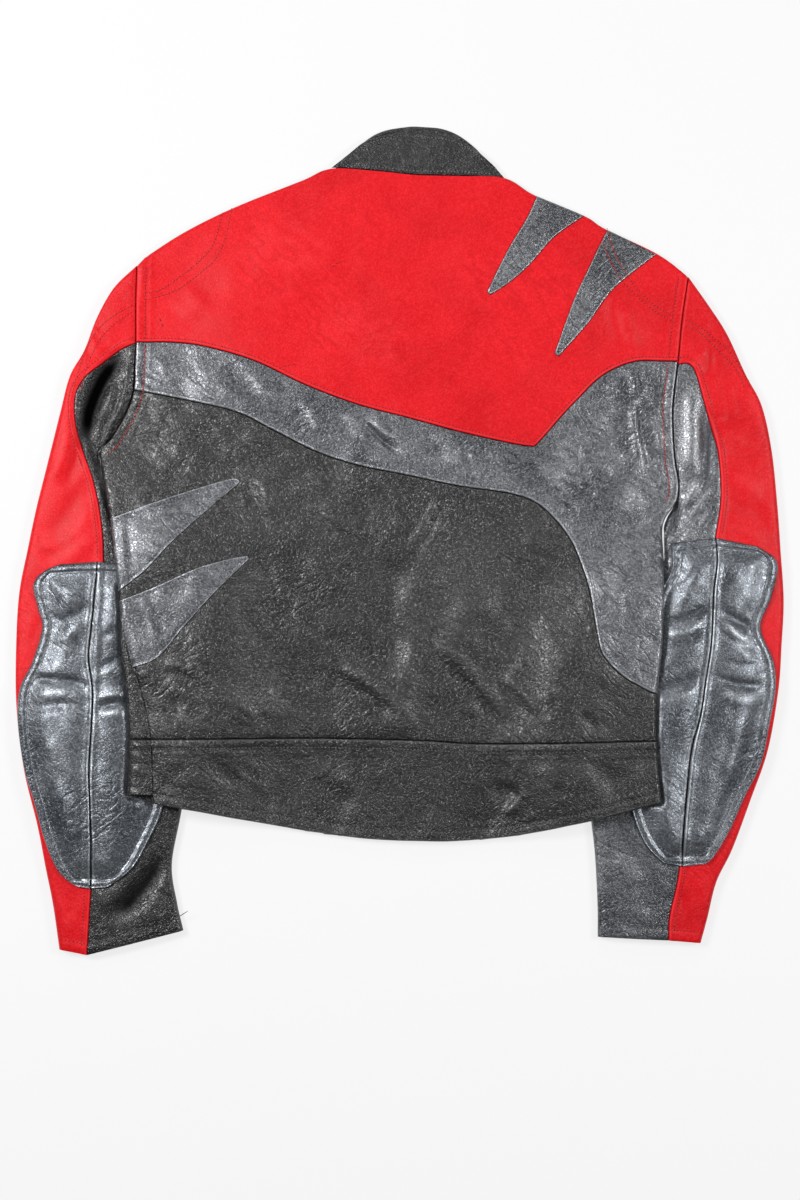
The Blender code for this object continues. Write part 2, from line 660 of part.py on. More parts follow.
def surface_of(pieces):
    """Read the upper face of some pieces, as a function of x and y."""
    points, faces = [], []
    for piece in pieces:
        start = len(points)
        points += [vertex.co / MM for vertex in piece.data.vertices]
        faces += [tuple(start + i for i in polygon.vertices) for polygon in piece.data.polygons]
    tree = BVHTree.FromPolygons(points, faces)
    reach = 100.0
    offsets = ((0.0, 0.0), (0.7, 0.0), (-0.7, 0.0), (0.0, 0.7), (0.0, -0.7))

    def height(x, y):
        result = np.zeros(x.shape)
        for index in np.ndindex(x.shape):
            hits = []
            for over, up in offsets:
                start = Vector((x[index] + over, y[index] + up, reach))
                place = tree.ray_cast(start, Vector((0.0, 0.0, -1.0)))[0]
                if place is not None:
                    hits.append(place.z)
            result[index] = max(hits)
        return result

    return height


def elbow_patch(side, rows, surface):
    """A padded patch in two halves, crowned in each half and creased at the elbow."""
    table = smooth_line(rows, 2)
    outer, centre, inner, crease = table[:, 0:2], table[:, 2:4], table[:, 4:6], table[:, 6]
    across = directions_across(centre) * np.sign(outer[0, 0] - inner[0, 0])
    along = np.linspace(0.0, 1.0, len(table))
    length = np.linalg.norm(np.diff(centre, axis=0), axis=1).sum()
    from_end = np.minimum(along, 1.0 - along) * length
    for which, border, direction in (("outer", outer, 1.0), ("inner", inner, -1.0)):
        seam = centre + direction * across * SEAM / 2.0
        flat = border[:, None] * (1.0 - PAD_SHARES[:, None]) + seam[:, None] * PAD_SHARES[:, None]
        width = np.linalg.norm(border - seam, axis=1)[:, None]
        from_side = ease(PAD_SHARES * width / PAD_EASE)
        at_seam = 1.0 - PAD_SEAM_DIP * ease(1.0 - (1.0 - PAD_SHARES) * width / PAD_EASE)
        crown = PAD_CROWN * from_side * at_seam * ease(from_end / PAD_EASE)[:, None]
        crown = crown * (1.0 - PAD_CREASE_DIP * np.clip(crease, 0.0, 1.0)[:, None])
        x, y = flat[..., 0], flat[..., 1]
        base = surface(x, y) + PAD_SPACE
        shell(f"elbow_{side}_{which}", stack(x, y, base + PAD_EDGE + crown), stack(x, y, base), GREY)


def dart(name, first, second, surface, count=9, rows=5):
    """A pointed insert between two edges, laid on the panel's own points."""
    edges = []
    for points in (first, second):
        line = smooth_line(points)
        along = np.linspace(0.0, 1.0, len(line))
        share = np.linspace(0.0, 1.0, count)
        edges.append(np.stack([np.interp(share, along, line[:, k]) for k in (0, 1)], axis=1))
    over = np.linspace(0.0, 1.0, rows)[:, None, None]
    flat = edges[0] * (1.0 - over) + edges[1] * over
    x, y = flat[..., 0], flat[..., 1]
    base = surface(x, y) + DART_SPACE
    shell(name, stack(x, y, base + DART_WALL), stack(x, y, base), GREY)


def along_zip(count):
    """Even heights along the zip for the inner rows of a front."""
    return np.linspace(waist_seam(0.0), front_top(0.0), count + 2)[1:-1]


def build_body():
    """The panels of the back and the two fronts."""

    def zip_right(y):
        return middle(y) + ZIP_HALF + SEAM

    left_levels = list(zip(along_zip(len(LEFT_FRONT_LEVELS)), LEFT_FRONT_LEVELS))
    right_levels = list(zip(along_zip(len(RIGHT_FRONT_LEVELS)), RIGHT_FRONT_LEVELS))
    hem = {"space_low": 0.0}
    return [
        back_panel("back_yoke", RED, yoke_seam, shoulder_line, YOKE_LEVELS),
        back_panel("back_band", GREY, band_edge, yoke_seam, BAND_LEVELS),
        back_panel("back_lower", BLACK, waist_seam, band_edge, LOWER_LEVELS),
        back_panel("back_waistband", BLACK, hem_line, waist_seam, BACK_HEM_LEVELS, **hem),
        lapped_panel("front_left", waist_seam, front_top, left_levels),
        lapped_panel("front_waistband_left", front_hem, waist_seam, LEFT_HEM_LEVELS, **hem),
        front_panel("front_right", zip_right, right_edge, waist_seam, front_top, right_levels),
        front_panel(
            "front_waistband_right", zip_right, right_edge, front_hem, waist_seam,
            RIGHT_HEM_LEVELS, **hem,
        ),
    ]


def build_zip():
    """The closed zip with its tapes, between the two fronts."""
    y = np.linspace(hem_line(0.0) + HEM_STEP, front_top(19.0) - SEAM, 12)[:, None]
    x = middle(y) + ZIP_HALF * np.linspace(-1.0, 1.0, 5)
    y = np.broadcast_to(y, x.shape)
    under = lift(x, y)
    shell("front_zip", stack(x, y, under), stack(x, y, under + WALL), BLACK, 0.6)


def build_collar():
    """The stand collar, pressed flat: its back part lies on its front part."""
    band_between("collar_front", COLLAR_FRONT_SEAM, COLLAR_FRONT_TOP, 0.0, COLLAR_WALL)
    base = WALL + INSIDE + SEAM
    band_between("collar_back", COLLAR_SEAM, COLLAR_TOP, base, base + COLLAR_WALL)


def build_sleeves():
    """Both sleeves with their elbow patches."""
    left = sleeve("left", LEFT_SLEEVE, left_edge, LEFT_SIDE, {"outer": RED, "inner": BLACK})
    right = sleeve("right", RIGHT_SLEEVE, right_edge, RIGHT_SIDE, {"outer": RED, "inner": GREY})
    elbow_patch("left", LEFT_PAD, surface_of(left))
    elbow_patch("right", RIGHT_PAD, surface_of(right))


def build_darts(body):
    """The pointed inserts on the yoke and on the left side."""
    surface = surface_of(body)
    for name, first, second in SHOULDER_DARTS + SIDE_DARTS:
        dart(name, first, second, surface)


def main():
    for thing in list(bpy.data.objects):
        bpy.data.objects.remove(thing)
    body = build_body()
    build_zip()
    build_collar()
    build_sleeves()
    build_darts(body)


main()
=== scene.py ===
"""The looks of a leather motorcycle jacket, zipped up and laid flat on its front, back up.

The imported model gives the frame: metres, +Z up, the hem towards -Y and the wearer's left
towards -X. In this file lengths are millimetres until a mesh is made. Each leather panel is a
thin closed wall on the form of its solid, with its seams, folds and creases worked in.
"""

from __future__ import annotations

import logging
import math
from dataclasses import dataclass, field
from enum import Enum
from typing import Callable, NamedTuple, Sequence

import bmesh
import bpy
import numpy as np
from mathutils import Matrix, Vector
from mathutils.bvhtree import BVHTree

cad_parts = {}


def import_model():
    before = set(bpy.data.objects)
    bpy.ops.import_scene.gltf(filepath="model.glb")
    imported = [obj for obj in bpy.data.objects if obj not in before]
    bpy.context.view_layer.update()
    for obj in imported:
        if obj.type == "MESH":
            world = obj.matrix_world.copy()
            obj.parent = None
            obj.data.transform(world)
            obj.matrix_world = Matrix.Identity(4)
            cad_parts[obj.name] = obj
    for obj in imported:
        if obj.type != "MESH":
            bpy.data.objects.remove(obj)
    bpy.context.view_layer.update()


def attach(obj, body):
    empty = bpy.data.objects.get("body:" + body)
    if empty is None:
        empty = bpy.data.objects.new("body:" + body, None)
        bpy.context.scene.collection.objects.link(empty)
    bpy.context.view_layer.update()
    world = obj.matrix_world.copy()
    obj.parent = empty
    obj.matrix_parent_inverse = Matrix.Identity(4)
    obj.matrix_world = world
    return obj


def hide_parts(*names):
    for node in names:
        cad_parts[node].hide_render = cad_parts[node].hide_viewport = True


log = logging.getLogger("jacket")

MM = 0.001
Array = np.ndarray
Piece = bpy.types.Object
Socket = bpy.types.NodeSocket
Shown = Callable[[Array, Array], Array]

WALL = 1.5            # leather with its backing
SEAM = 0.3            # between two sewn pieces
SEAM_ROLL = 0.8       # how round an edge turns down into a seam
SIDE_ROLL = 4.6       # how round the body's folded sides and shoulders are
ARMHOLE_ROLL = 1.5
LIFT_SCALE = 1.22     # soft sleeves are thicker than their plain solids
SLOPE = 95.0          # over which the body comes down from a sleeve to the floor
SLEEVE_ROLL = 4.8     # half the thickness of a sleeve at its folded edges
CREST = 31.6          # the height under which the body's top is kept
LOWEST = 0.2          # how low the inside of a wall may come
FAR = 12.0            # the farthest distance that a finish reads
AWAY = 60.0           # added to a distance that is not to count
ABOVE = 90.0          # from where the pieces' heights are looked for


class Side(NamedTuple):
    """A point of a line that is read as x over y."""

    y: float
    x: float


class Point(NamedTuple):
    """A point in plan."""

    x: float
    y: float


class Lift(NamedTuple):
    """How high the body lies over a sleeve at one height, and how far in that reaches."""

    y: float
    height: float
    reach: float


class Crease(NamedTuple):
    """A soft ridge, or a trough where its height is negative, along a bent line."""

    x0: float
    y0: float
    x1: float
    y1: float
    bend: float
    width: float
    height: float


class Section(NamedTuple):
    """One section across a sleeve, from its outer edge over its seam to its inner edge."""

    outer_x: float
    outer_y: float
    seam_x: float
    seam_y: float
    inner_x: float
    inner_y: float
    bow: float
    loft: float


class PadRow(NamedTuple):
    """One row across an elbow patch, from its outer border to its inner one."""

    outer_x: float
    outer_y: float
    mid_x: float
    mid_y: float
    inner_x: float
    inner_y: float
    crease: float


def rows(kind: type, *numbers: Sequence[float]) -> tuple:
    """Name the numbers of each row by their kind."""
    return tuple(kind(*row) for row in numbers)


LEFT_SIDE = rows(
    Side, (261, -250), (224, -251), (188, -251), (165, -252), (142, -253), (121, -260), (97, -274),
    (82, -285), (43, -279), (5, -272), (-60, -265), (-102, -264), (-138, -259), (-188, -256),
    (-242, -258),
)
RIGHT_SIDE = rows(
    Side, (250, 274), (209, 268), (168, 264), (145, 261), (121, 259), (91, 260), (70, 262), (52, 265),
    (35, 262), (15, 250), (-25, 250), (-98, 248), (-146, 243), (-190, 242), (-248, 247),
)
LEFT_UNDERARM = 82.0
RIGHT_UNDERARM = 15.0
# The left side seam, where the front comes round on top of the back.
SIDE_SEAM = LEFT_SIDE[6:11] + rows(
    Side, (-72, -262), (-85, -257), (-126, -249), (-160, -240), (-189, -235), (-249, -233),
)
SHOULDERS = rows(
    Point, (-290, 225), (-250, 261), (-239, 271), (-203, 294), (-156, 317), (-93, 342), (-66, 353),
    (-19, 350.5), (15, 347), (55, 346), (100, 344), (128, 328), (176, 308), (195, 296), (245, 272),
    (274, 250), (300, 226),
)
NECK_LEFT = -66.0
NECK_RIGHT = 100.0
FRONT_NECK = (Point(-300, 225), *SHOULDERS[1:6], *rows(
    Point, (-66, 352), (-40, 340), (-10, 333), (19, 331), (48, 332), (78, 336), (100, 343),
), *SHOULDERS[11:])
YOKE_SEAM = rows(
    Point, (-290, 189), (-249, 188), (-218, 188), (-186, 184), (-138, 170), (-89, 147), (-41, 129),
    (8, 116), (56, 103), (104, 92), (124, 89), (130, 91), (153, 117), (168, 133), (192, 156),
    (221, 169), (250, 170), (300, 168),
)
BAND_EDGE = rows(
    Point, (-290, 145), (-252, 142), (-186, 129), (-152, 120), (-118, 103), (-80, 84), (-41, 71),
    (8, 61), (56, 51), (104, 44), (129, 35), (148, 18), (162, -1), (171, -22), (179, -49), (187, -97),
    (194, -113), (210, -129), (225, -138), (244, -146), (290, -150),
)
WAIST_SEAM = rows(
    Point, (-290, -188), (-235, -188), (-85, -188), (19, -190), (72, -193), (144, -192), (238, -190),
    (290, -190),
)
HEM = rows(
    Point, (-290, -238), (-258, -242), (-234, -249), (-184, -258), (-139, -267), (-85, -277),
    (-29, -284), (19, -286), (54, -286), (108, -281), (162, -270), (200, -261), (247, -248),
    (290, -238),
)
LEFT_LIFT = rows(
    Lift, (82, 0, -272), (65, 3.4, -266), (48, 6.8, -258), (20, 9.4, -242), (-12, 14.8, -226),
    (-70, 15, -200), (-160, 15, -190), (-250, 14, -192), (-300, 14, -192),
)
RIGHT_LIFT = rows(
    Lift, (15, 0, 246), (-3, 3.6, 240), (-19, 7.2, 232), (-35, 11, 222), (-50, 14.8, 212),
    (-110, 15, 188), (-200, 15, 174), (-300, 14, 174),
)

# The folds and creases of the back.
BACK_CREASES = rows(
    Crease, (7, -15, 6, -186, 2, 12, 1.3), (-8, 20, 4, -30, -4, 9, 0.6),
    (32, -92, 109, -180, 6, 7, 1.5), (24, -104, 98, -186, 6, 6, -0.9), (-70, -112, 20, -184, 9, 7, 1.4),
    (-84, -122, 4, -188, 9, 6, -0.8), (94, -128, 130, -165, 4, 5, 1),
    (166, -165, 186, -182, 2, 6, -1.2), (-19, -160, 7, -187, 2, 5, 0.8),
    (48, -60, 96, -118, -5, 9, 0.7), (120, -60, 150, -130, 8, 8, 0.6),
    (-120, -70, -60, -128, 10, 8, 0.6), (-150, -30, -118, -96, -6, 7, 0.5),
    (-205, -130, -130, -176, 8, 6, 0.7), (-222, -128, -196, -152, 4, 4, 0.9),
    (-228, -136, -206, -170, 3, 3, -0.7), (217, 166, 221, 128, 4, 3.5, -1.5),
    (222, 150, 236, 60, -5, 5, 1.6), (228, 140, 244, 52, -5, 4, -1.5), (236, 128, 250, 66, 4, 5, 1.1),
    (212, 120, 226, 66, 6, 7, 0.7), (196, 96, 216, 20, 6, 10, 0.7), (226, 10, 214, -70, 6, 8, -0.7),
    (206, -20, 212, -96, -5, 7, 0.7), (200, 236, 217, 176, -5, 6, -1.1),
    (214, 226, 226, 180, -4, 6, 0.9), (-268, 134, -222, 112, 5, 3, 0.8),
    (-262, 122, -214, 98, 5, 3, 0.7), (-266, 128, -218, 105, 5, 2.5, -0.7),
    (-252, 108, -206, 86, 5, 3.5, 0.6), (-240, 136, -228, 96, 3, 3, 0.5),
    (-216, 130, -206, 104, -3, 3, 0.4), (-196, 122, -160, 74, 6, 5, 0.6),
    (-186, 116, -148, 60, 8, 4, 0.5), (-120, 92, -70, 40, 8, 6, 0.45), (-40, 60, 10, 20, 6, 8, 0.45),
    (-188, -206, -150, -240, 4, 9, -1.2), (-204, -214, -176, -248, 4, 8, 0.8),
    (-85, -226, -44, -264, 5, 9, -1.3), (-62, -222, -30, -252, 4, 7, 0.8),
    (82, -232, 120, -240, -4, 8, -1.3), (117, -234, 97, -264, 3, 4.5, 1.5),
    (124, -226, 150, -262, 5, 8, 0.8), (20, -212, 44, -268, 5, 10, 0.7),
    (176, -208, 208, -244, 5, 9, -0.7), (-190, 240, -214, 214, 6, 16, 0.7),
    (-150, 290, -60, 250, 10, 26, 0.8), (-90, 210, 20, 160, 12, 30, 0.7),
    (40, 300, 60, 200, 10, 24, 0.6), (100, 180, 150, 120, 8, 14, 0.6),
    (-236, 176, -222, 152, 3, 4, 0.5), (-200, 176, -180, 140, 3, 5, 0.5),
    (-148, 160, -120, 122, 4, 6, 1), (-96, 136, -76, 96, 3, 6, 0.9), (-57, 122, -34, 92, 3, 5, 1.5),
    (-38, 118, 3, 80, -3, 2.6, -1.8), (-27, 119, 0, 93, -3, 4.5, 1.7), (-46, 112, -12, 82, -2, 4, -1.2),
    (30, 104, 52, 66, 3, 6, 1), (44, 104, 70, 62, 3, 4, -0.9), (-51, 67, 9, 8, 0, 2.4, 1.3),
    (-47, 66, 4, 14, -2, 2.2, -0.9), (39, 51, 3, -14, 3, 2.4, 1.1), (46, 48, 10, -20, 3, 2.4, -0.9),
    (-82, 26, -8, -16, -3, 2.4, -1), (-135, 66, -124, 20, 2, 7, 1.4), (84, 92, 92, 52, 3, 6, 0.6),
    (128, 80, 158, 30, 5, 7, 0.7), (150, 104, 176, 46, -5, 7, 0.5),
    (-244, -150, -238, -186, 2, 2.6, 0.9), (-254, -192, -238, -200, 2, 2.4, 0.9),
    (-256, -204, -238, -210, 2, 2.4, 0.8), (-256, -216, -238, -224, 2, 2.6, 0.9),
    (-256, -150, -246, -176, 2, 3, 0.8), (-263, 26, -256, -46, -2, 2.6, 0.9),
    (-256, 28, -250, -30, -2, 2.6, -0.5), (-247, -48, -229, -100, 2, 3.2, 0.9),
    (-240, -48, -222, -92, 2, 3, -0.5), (-150, 54, -130, 8, 6, 5, -1),
    (-144, -10, -118, -60, 6, 6, -0.9), (-236, -126, -170, -150, 6, 5, -0.9),
    (-226, -118, -188, -128, 4, 3, 0.8), (58, 40, 62, -100, 0, 42, 1.8), (-10, 20, -8, -150, 2, 15, -1),
    (-200, 10, -160, -12, 5, 3, -0.8), (-224, 8, -176, -14, 5, 2.6, 0.7),
)


def ease(share: Array) -> Array:
    """Go from 0 to 1 with no slope at either end."""
    share = np.clip(share, 0.0, 1.0)
    return share * share * (3.0 - 2.0 * share)


def bell(distance: Array, width: float) -> Array:
    """A smooth bump across a line: exp(-(distance / width)^2)."""
    return np.exp(-((distance / width) ** 2))


def stack(*parts: Array) -> Array:
    """Join arrays of x, y and perhaps z into points."""
    return np.stack(parts, axis=-1)


def between(one: Array, two: Array, share: Array) -> Array:
    """Points from one line to another: one * (1 - share) + two * share."""
    return one * (1.0 - share[..., None]) + two * share[..., None]


def capped(distance: Array) -> Array:
    """A distance as the finishes read it, from 0 to FAR."""
    return np.clip(distance, 0.0, FAR)


def smooth_line(points: Sequence[Sequence[float]], steps: int = 8) -> Array:
    """Run a Catmull-Rom curve through rows of numbers.

    Args:
        points: the rows to pass through.
        steps: how many rows to make from one given row to the next.

    Returns:
        The rows of the curve, with all the given rows among them.
    """
    line = np.array(points, float)
    before = np.vstack([line[:1] * 2 - line[1:2], line[:-2]])
    after = np.vstack([line[2:], line[-1:] * 2 - line[-2:-1]])
    start, end = line[:-1], line[1:]
    t = (np.arange(steps) / steps)[None, :, None]
    start, end, before, after = (rows[:, None] for rows in (start, end, before, after))
    woven = 0.5 * (2 * start + (end - before) * t
                   + (2 * before - 5 * start + 4 * end - after) * t ** 2
                   + (3 * start - before - 3 * end + after) * t ** 3)
    return np.vstack([woven.reshape(-1, line.shape[1]), line[-1:]])


class Curve:
    """A smooth line in plan that is read as one coordinate over the other."""

    def __init__(self, points: Sequence[Sequence[float]]) -> None:
        """Keep the line's points, the coordinate that it is read over rising."""
        line = smooth_line(points)
        if line[0, 0] > line[-1, 0]:
            line = line[::-1]
        self.over, self.read = line[:, 0], line[:, 1]

    def __call__(self, over: Array) -> Array:
        """Read the line."""
        return np.interp(over, self.over, self.read)

    def slope(self, over: Array) -> Array:
        """How fast the line goes aside, from its height 1 mm to each side."""
        return (self(over + 1.0) - self(over - 1.0)) / 2.0


left_edge, right_edge, side_seam = Curve(LEFT_SIDE), Curve(RIGHT_SIDE), Curve(SIDE_SEAM)
shoulder_line, front_top = Curve(SHOULDERS), Curve(FRONT_NECK)
yoke_seam, band_edge = Curve(YOKE_SEAM), Curve(BAND_EDGE)
waist_seam, hem_line = Curve(WAIST_SEAM), Curve(HEM)


def middle(y: Array) -> Array:
    """The line down the middle of the body, which lies a little askew."""
    return 6.0 + 0.038 * y


def roll_drop(distance: Array, radius: Array) -> Array:
    """How far an edge has rounded down at a distance from it, as a quarter circle does."""
    inside = np.clip(1.0 - distance / radius, 0.0, 1.0)
    return radius * (1.0 - np.sqrt(1.0 - inside ** 2))


def noise(x: Array, y: Array, size: float, seed: int) -> Array:
    """Smooth noise from -1 to 1: random values on a square lattice, eased between corners.

    Args:
        x, y: the places.
        size: the side of one lattice square.
        seed: which lattice.

    Returns:
        The noise at each place.
    """
    table = np.random.default_rng(seed).uniform(-1.0, 1.0, (64, 64))
    u, v = x / size + 31.0, y / size + 31.0
    column, row = np.floor(u).astype(int), np.floor(v).astype(int)
    over, up = ease(u - column), ease(v - row)
    low = table[row % 64, column % 64] * (1 - over) + table[row % 64, (column + 1) % 64] * over
    row = row + 1
    high = table[row % 64, column % 64] * (1 - over) + table[row % 64, (column + 1) % 64] * over
    return low * (1 - up) + high * up


def crease_height(x: Array, y: Array, creases: Sequence[Crease]) -> Array:
    """Add up creases: height times exp(-(distance / width)^2), fading at both ends.

    Args:
        x, y: the places.
        creases: each runs along a parabola from its start to its end, bent aside by its bend.

    Returns:
        How much the creases raise the surface at each place.
    """
    total = np.zeros(np.broadcast(x, y).shape)
    t = np.linspace(0.0, 1.0, 9)
    for crease in creases:
        dx, dy = crease.x1 - crease.x0, crease.y1 - crease.y0
        length = math.hypot(dx, dy)
        aside = 4.0 * t * (1.0 - t) * crease.bend
        line_x = crease.x0 + dx * t - dy / length * aside
        line_y = crease.y0 + dy * t + dx / length * aside
        share = np.clip(((x - crease.x0) * dx + (y - crease.y0) * dy) / length ** 2, 0.0, 1.0)
        near_x, near_y = np.interp(share, t, line_x), np.interp(share, t, line_y)
        distance = np.hypot(x - near_x, y - near_y)
        fade = ease(share / 0.3) * ease((1.0 - share) / 0.3)
        total += crease.height * fade * bell(distance, crease.width)
    return total


def off_curve(x: Array, y: Array, curve: Curve) -> Array:
    """How far above a line that is read over x each place is, square to the line."""
    return (y - curve(x)) / np.hypot(1.0, curve.slope(x))


def puckers(along: Array, distance: Array, depth: float, seed: int) -> Array:
    """Small waves that a row of stitches draws up, deepest at the seam and gone 11 mm off.

    Args:
        along, distance: how far along the seam and off it each place is.
        depth: how high the waves are.
        seed: which noise makes them uneven.

    Returns:
        How much the waves raise the surface at each place.
    """
    wave = np.sin(along * 0.78 + 2.2 * noise(along, along * 0.0, 19.0, seed))
    wave = wave * (0.55 + 0.45 * noise(along, along * 0.0, 31.0, seed + 1))
    return depth * wave * bell(distance, 6.0)


def unit(vectors: Array) -> Array:
    """Give each vector a length of one."""
    return vectors / np.maximum(np.linalg.norm(vectors, axis=-1, keepdims=True), 1e-9)


def grid_normals(points: Array) -> Array:
    """Unit normals of a grid of points: the step down the rows crossed with the step along them.

    Args:
        points: rows by columns by 3.

    Returns:
        The normals, all on the side that the grid's own order gives.
    """
    down, along = np.gradient(points, axis=0), np.gradient(points, axis=1)
    return unit(np.cross(along, down))


def spread(near_start: Sequence[float], near_end: Sequence[float],
           count: int) -> tuple[Array, Array]:
    """Split a length into fine steps at both ends and even ones between.

    Each place is share * length + offset: the offsets are millimetres from either end.

    Args:
        near_start, near_end: distances from each end, rising, the first one 0.
        count: how many even steps lie between the fine ones.

    Returns:
        The shares and the offsets.
    """
    start, end = np.array(near_start, float), np.array(near_end, float)
    even = np.linspace(0.0, 1.0, count + 1)
    shares = np.concatenate([start[:-1] * 0.0, even, end[:-1] * 0.0 + 1.0])
    between = start[-1] * (1.0 - even) - end[-1] * even
    return shares, np.concatenate([start[:-1], between, -end[-2::-1]])


def round_steps(radius: float, beyond: Sequence[float] = (), parts: int = 5) -> tuple[float, ...]:
    """Distances from a rounded edge: even angles of its quarter circle, then those beyond it."""
    angles = np.linspace(0.0, math.pi / 2.0, parts + 1)
    return (*(radius * (1.0 - np.cos(angles))), *(radius + step for step in beyond))


def across_strip(near_start: Sequence[float], near_end: Sequence[float], count: int,
                 width: Array, room: float) -> Array:
    """Split a strip of uneven width, the fine steps pressed together where it is narrow.

    Args:
        near_start, near_end, count: as for spread.
        width: how wide the strip is at each of its rows.
        room: how much of the width the fine steps at one end may take.

    Returns:
        The shares of the width, a row for each of the strip's rows.
    """
    shares, offsets = spread(near_start, near_end, count)
    fit = np.minimum(1.0, room * width / max(near_start[-1], near_end[-1]))
    return shares + offsets * fit / width


SEAM_STEPS = round_steps(SEAM_ROLL, (0.9, 2.0, 3.6), 3)
SIDE_STEPS = round_steps(SIDE_ROLL, (), 6)


@dataclass
class Panel:
    """A grid in plan between two side lines, read over y, and two cross lines, read over x."""

    left: Callable[[Array], Array]
    right: Callable[[Array], Array]
    low: Curve
    high: Curve
    columns: int
    rows: int
    near_left: Sequence[float] = SIDE_STEPS
    near_right: Sequence[float] = SIDE_STEPS
    near_low: Sequence[float] = SEAM_STEPS
    near_high: Sequence[float] = SEAM_STEPS
    gap_low: float = SEAM

    def across(self, y: Array) -> Array:
        """Where each column is at the given heights."""
        shares, offsets = spread(self.near_left, self.near_right, self.columns)
        return self.left(y) * (1.0 - shares) + self.right(y) * shares + offsets

    def border(self, curve: Curve, gap: float) -> Array:
        """The height of each column's end on a cross line, half a seam off it."""
        y = np.zeros(len(self.near_left) + len(self.near_right) + self.columns - 1)
        for _ in range(30):
            x = self.across(y)
            y = curve(x) + gap / 2.0 * np.hypot(1.0, curve.slope(x))
        return y

    def grid(self) -> tuple[Array, Array]:
        """The grid's x and y: each column goes from the low line to the high one."""
        low, high = self.border(self.low, self.gap_low), self.border(self.high, -SEAM)
        shares, offsets = spread(self.near_low, self.near_high, self.rows)
        room = (high - low) * 0.45 / max(self.near_low[-1], self.near_high[-1], 1e-6)
        offsets = offsets[:, None] * np.minimum(1.0, room)
        y = low * (1.0 - shares[:, None]) + high * shares[:, None] + offsets
        return self.across(y), y


def finished(name: str, mesh: bpy.types.Mesh, sharp: float) -> Piece:
    """Shade a mesh smooth, except at edges sharper than an angle, and put it in the scene.

    Args:
        name: the piece's name.
        mesh: its mesh.
        sharp: the angle, in degrees.

    Returns:
        The piece, at the origin.
    """
    mesh.shade_smooth()
    mesh.set_sharp_from_angle(angle=math.radians(sharp))
    piece = bpy.data.objects.new(name, mesh)
    bpy.context.scene.collection.objects.link(piece)
    log.info("%s: %d faces", name, len(mesh.polygons))
    return piece


def shell(name: str, outside: Array, inside: Array, kept: Array | None = None,
          data: dict[str, Array] | None = None) -> Piece:
    """Close the wall between two grids of points into one mesh.

    Args:
        name: the piece's name.
        outside, inside: two grids of the same size, rows by columns by 3, in millimetres.
        kept: which cells are there; with None all of them are.
        data: numbers for each point of the grid, kept as attributes for the finish.

    Returns:
        The piece, at the origin, shaded smooth.
    """
    rows, columns = outside.shape[:2]
    kept = np.ones((rows - 1, columns - 1), bool) if kept is None else kept
    frame = np.pad(kept, 1)
    used = frame[:-1, :-1] | frame[:-1, 1:] | frame[1:, :-1] | frame[1:, 1:]
    index = np.full((rows, columns), -1)
    index[used] = np.arange(used.sum())
    count = int(used.sum())
    corner = [index[:-1, :-1], index[:-1, 1:], index[1:, 1:], index[1:, :-1]]
    outer = np.stack(corner, axis=-1)[kept]
    faces = [outer, outer[:, ::-1] + count]
    beside = (frame[:-2, 1:-1], frame[1:-1, 2:], frame[2:, 1:-1], frame[1:-1, :-2])
    for side, neighbour in enumerate(beside):
        rim = kept & ~neighbour
        first, second = corner[side][rim], corner[(side + 1) % 4][rim]
        faces.append(np.stack([second, first, first + count, second + count], axis=-1))
    points = np.vstack([outside[used], inside[used]]) * MM
    faces = np.vstack(faces)
    one, two, three, four = (points[faces[:, k]] for k in range(4))
    volume = np.einsum("ij,ij->", one, np.cross(two, three) + np.cross(three, four))
    faces = faces[:, ::-1] if volume < 0 else faces
    mesh = bpy.data.meshes.new(name)
    mesh.from_pydata(points, [], faces)
    for label, values in (data or {}).items():
        attribute = mesh.attributes.new(label, "FLOAT", "POINT")
        attribute.data.foreach_set("value", np.tile(values[used], 2).astype(np.float32))
    return finished(name, mesh, 62.0)


def flat_size(points: Array, kept: Array | None = None) -> tuple[float, float, float]:
    """What a wall was cut to: its greatest width and length along itself, and its area.

    Args:
        points: the outside of the wall, rows by columns by 3, in millimetres.
        kept: which cells are there.

    Returns:
        Width along the rows, length across them, both in metres, and area in square metres.
    """
    down, along = np.diff(points, axis=0), np.diff(points, axis=1)
    cells = np.linalg.norm(np.cross(down[:, :-1], along[:-1]), axis=-1)
    across, tall = np.linalg.norm(along, axis=-1)[:-1], np.linalg.norm(down, axis=-1)[:, :-1]
    if kept is not None:
        cells, across, tall = cells * kept, across * kept, tall * kept
    width, length = across.sum(axis=1).max() * MM, tall.sum(axis=0).max() * MM
    return float(width), float(length), float(cells.sum()) * MM ** 2


def distances(path: Array) -> Array:
    """How far along a path each of its points is."""
    return np.concatenate([[0.0], np.linalg.norm(np.diff(path, axis=0), axis=1).cumsum()])


def at_shares(path: Array, share: Array) -> Array:
    """The points of a path at shares of its length."""
    along = distances(path)
    return stack(*(np.interp(share, along / along[-1], path[:, k]) for k in (0, 1)))


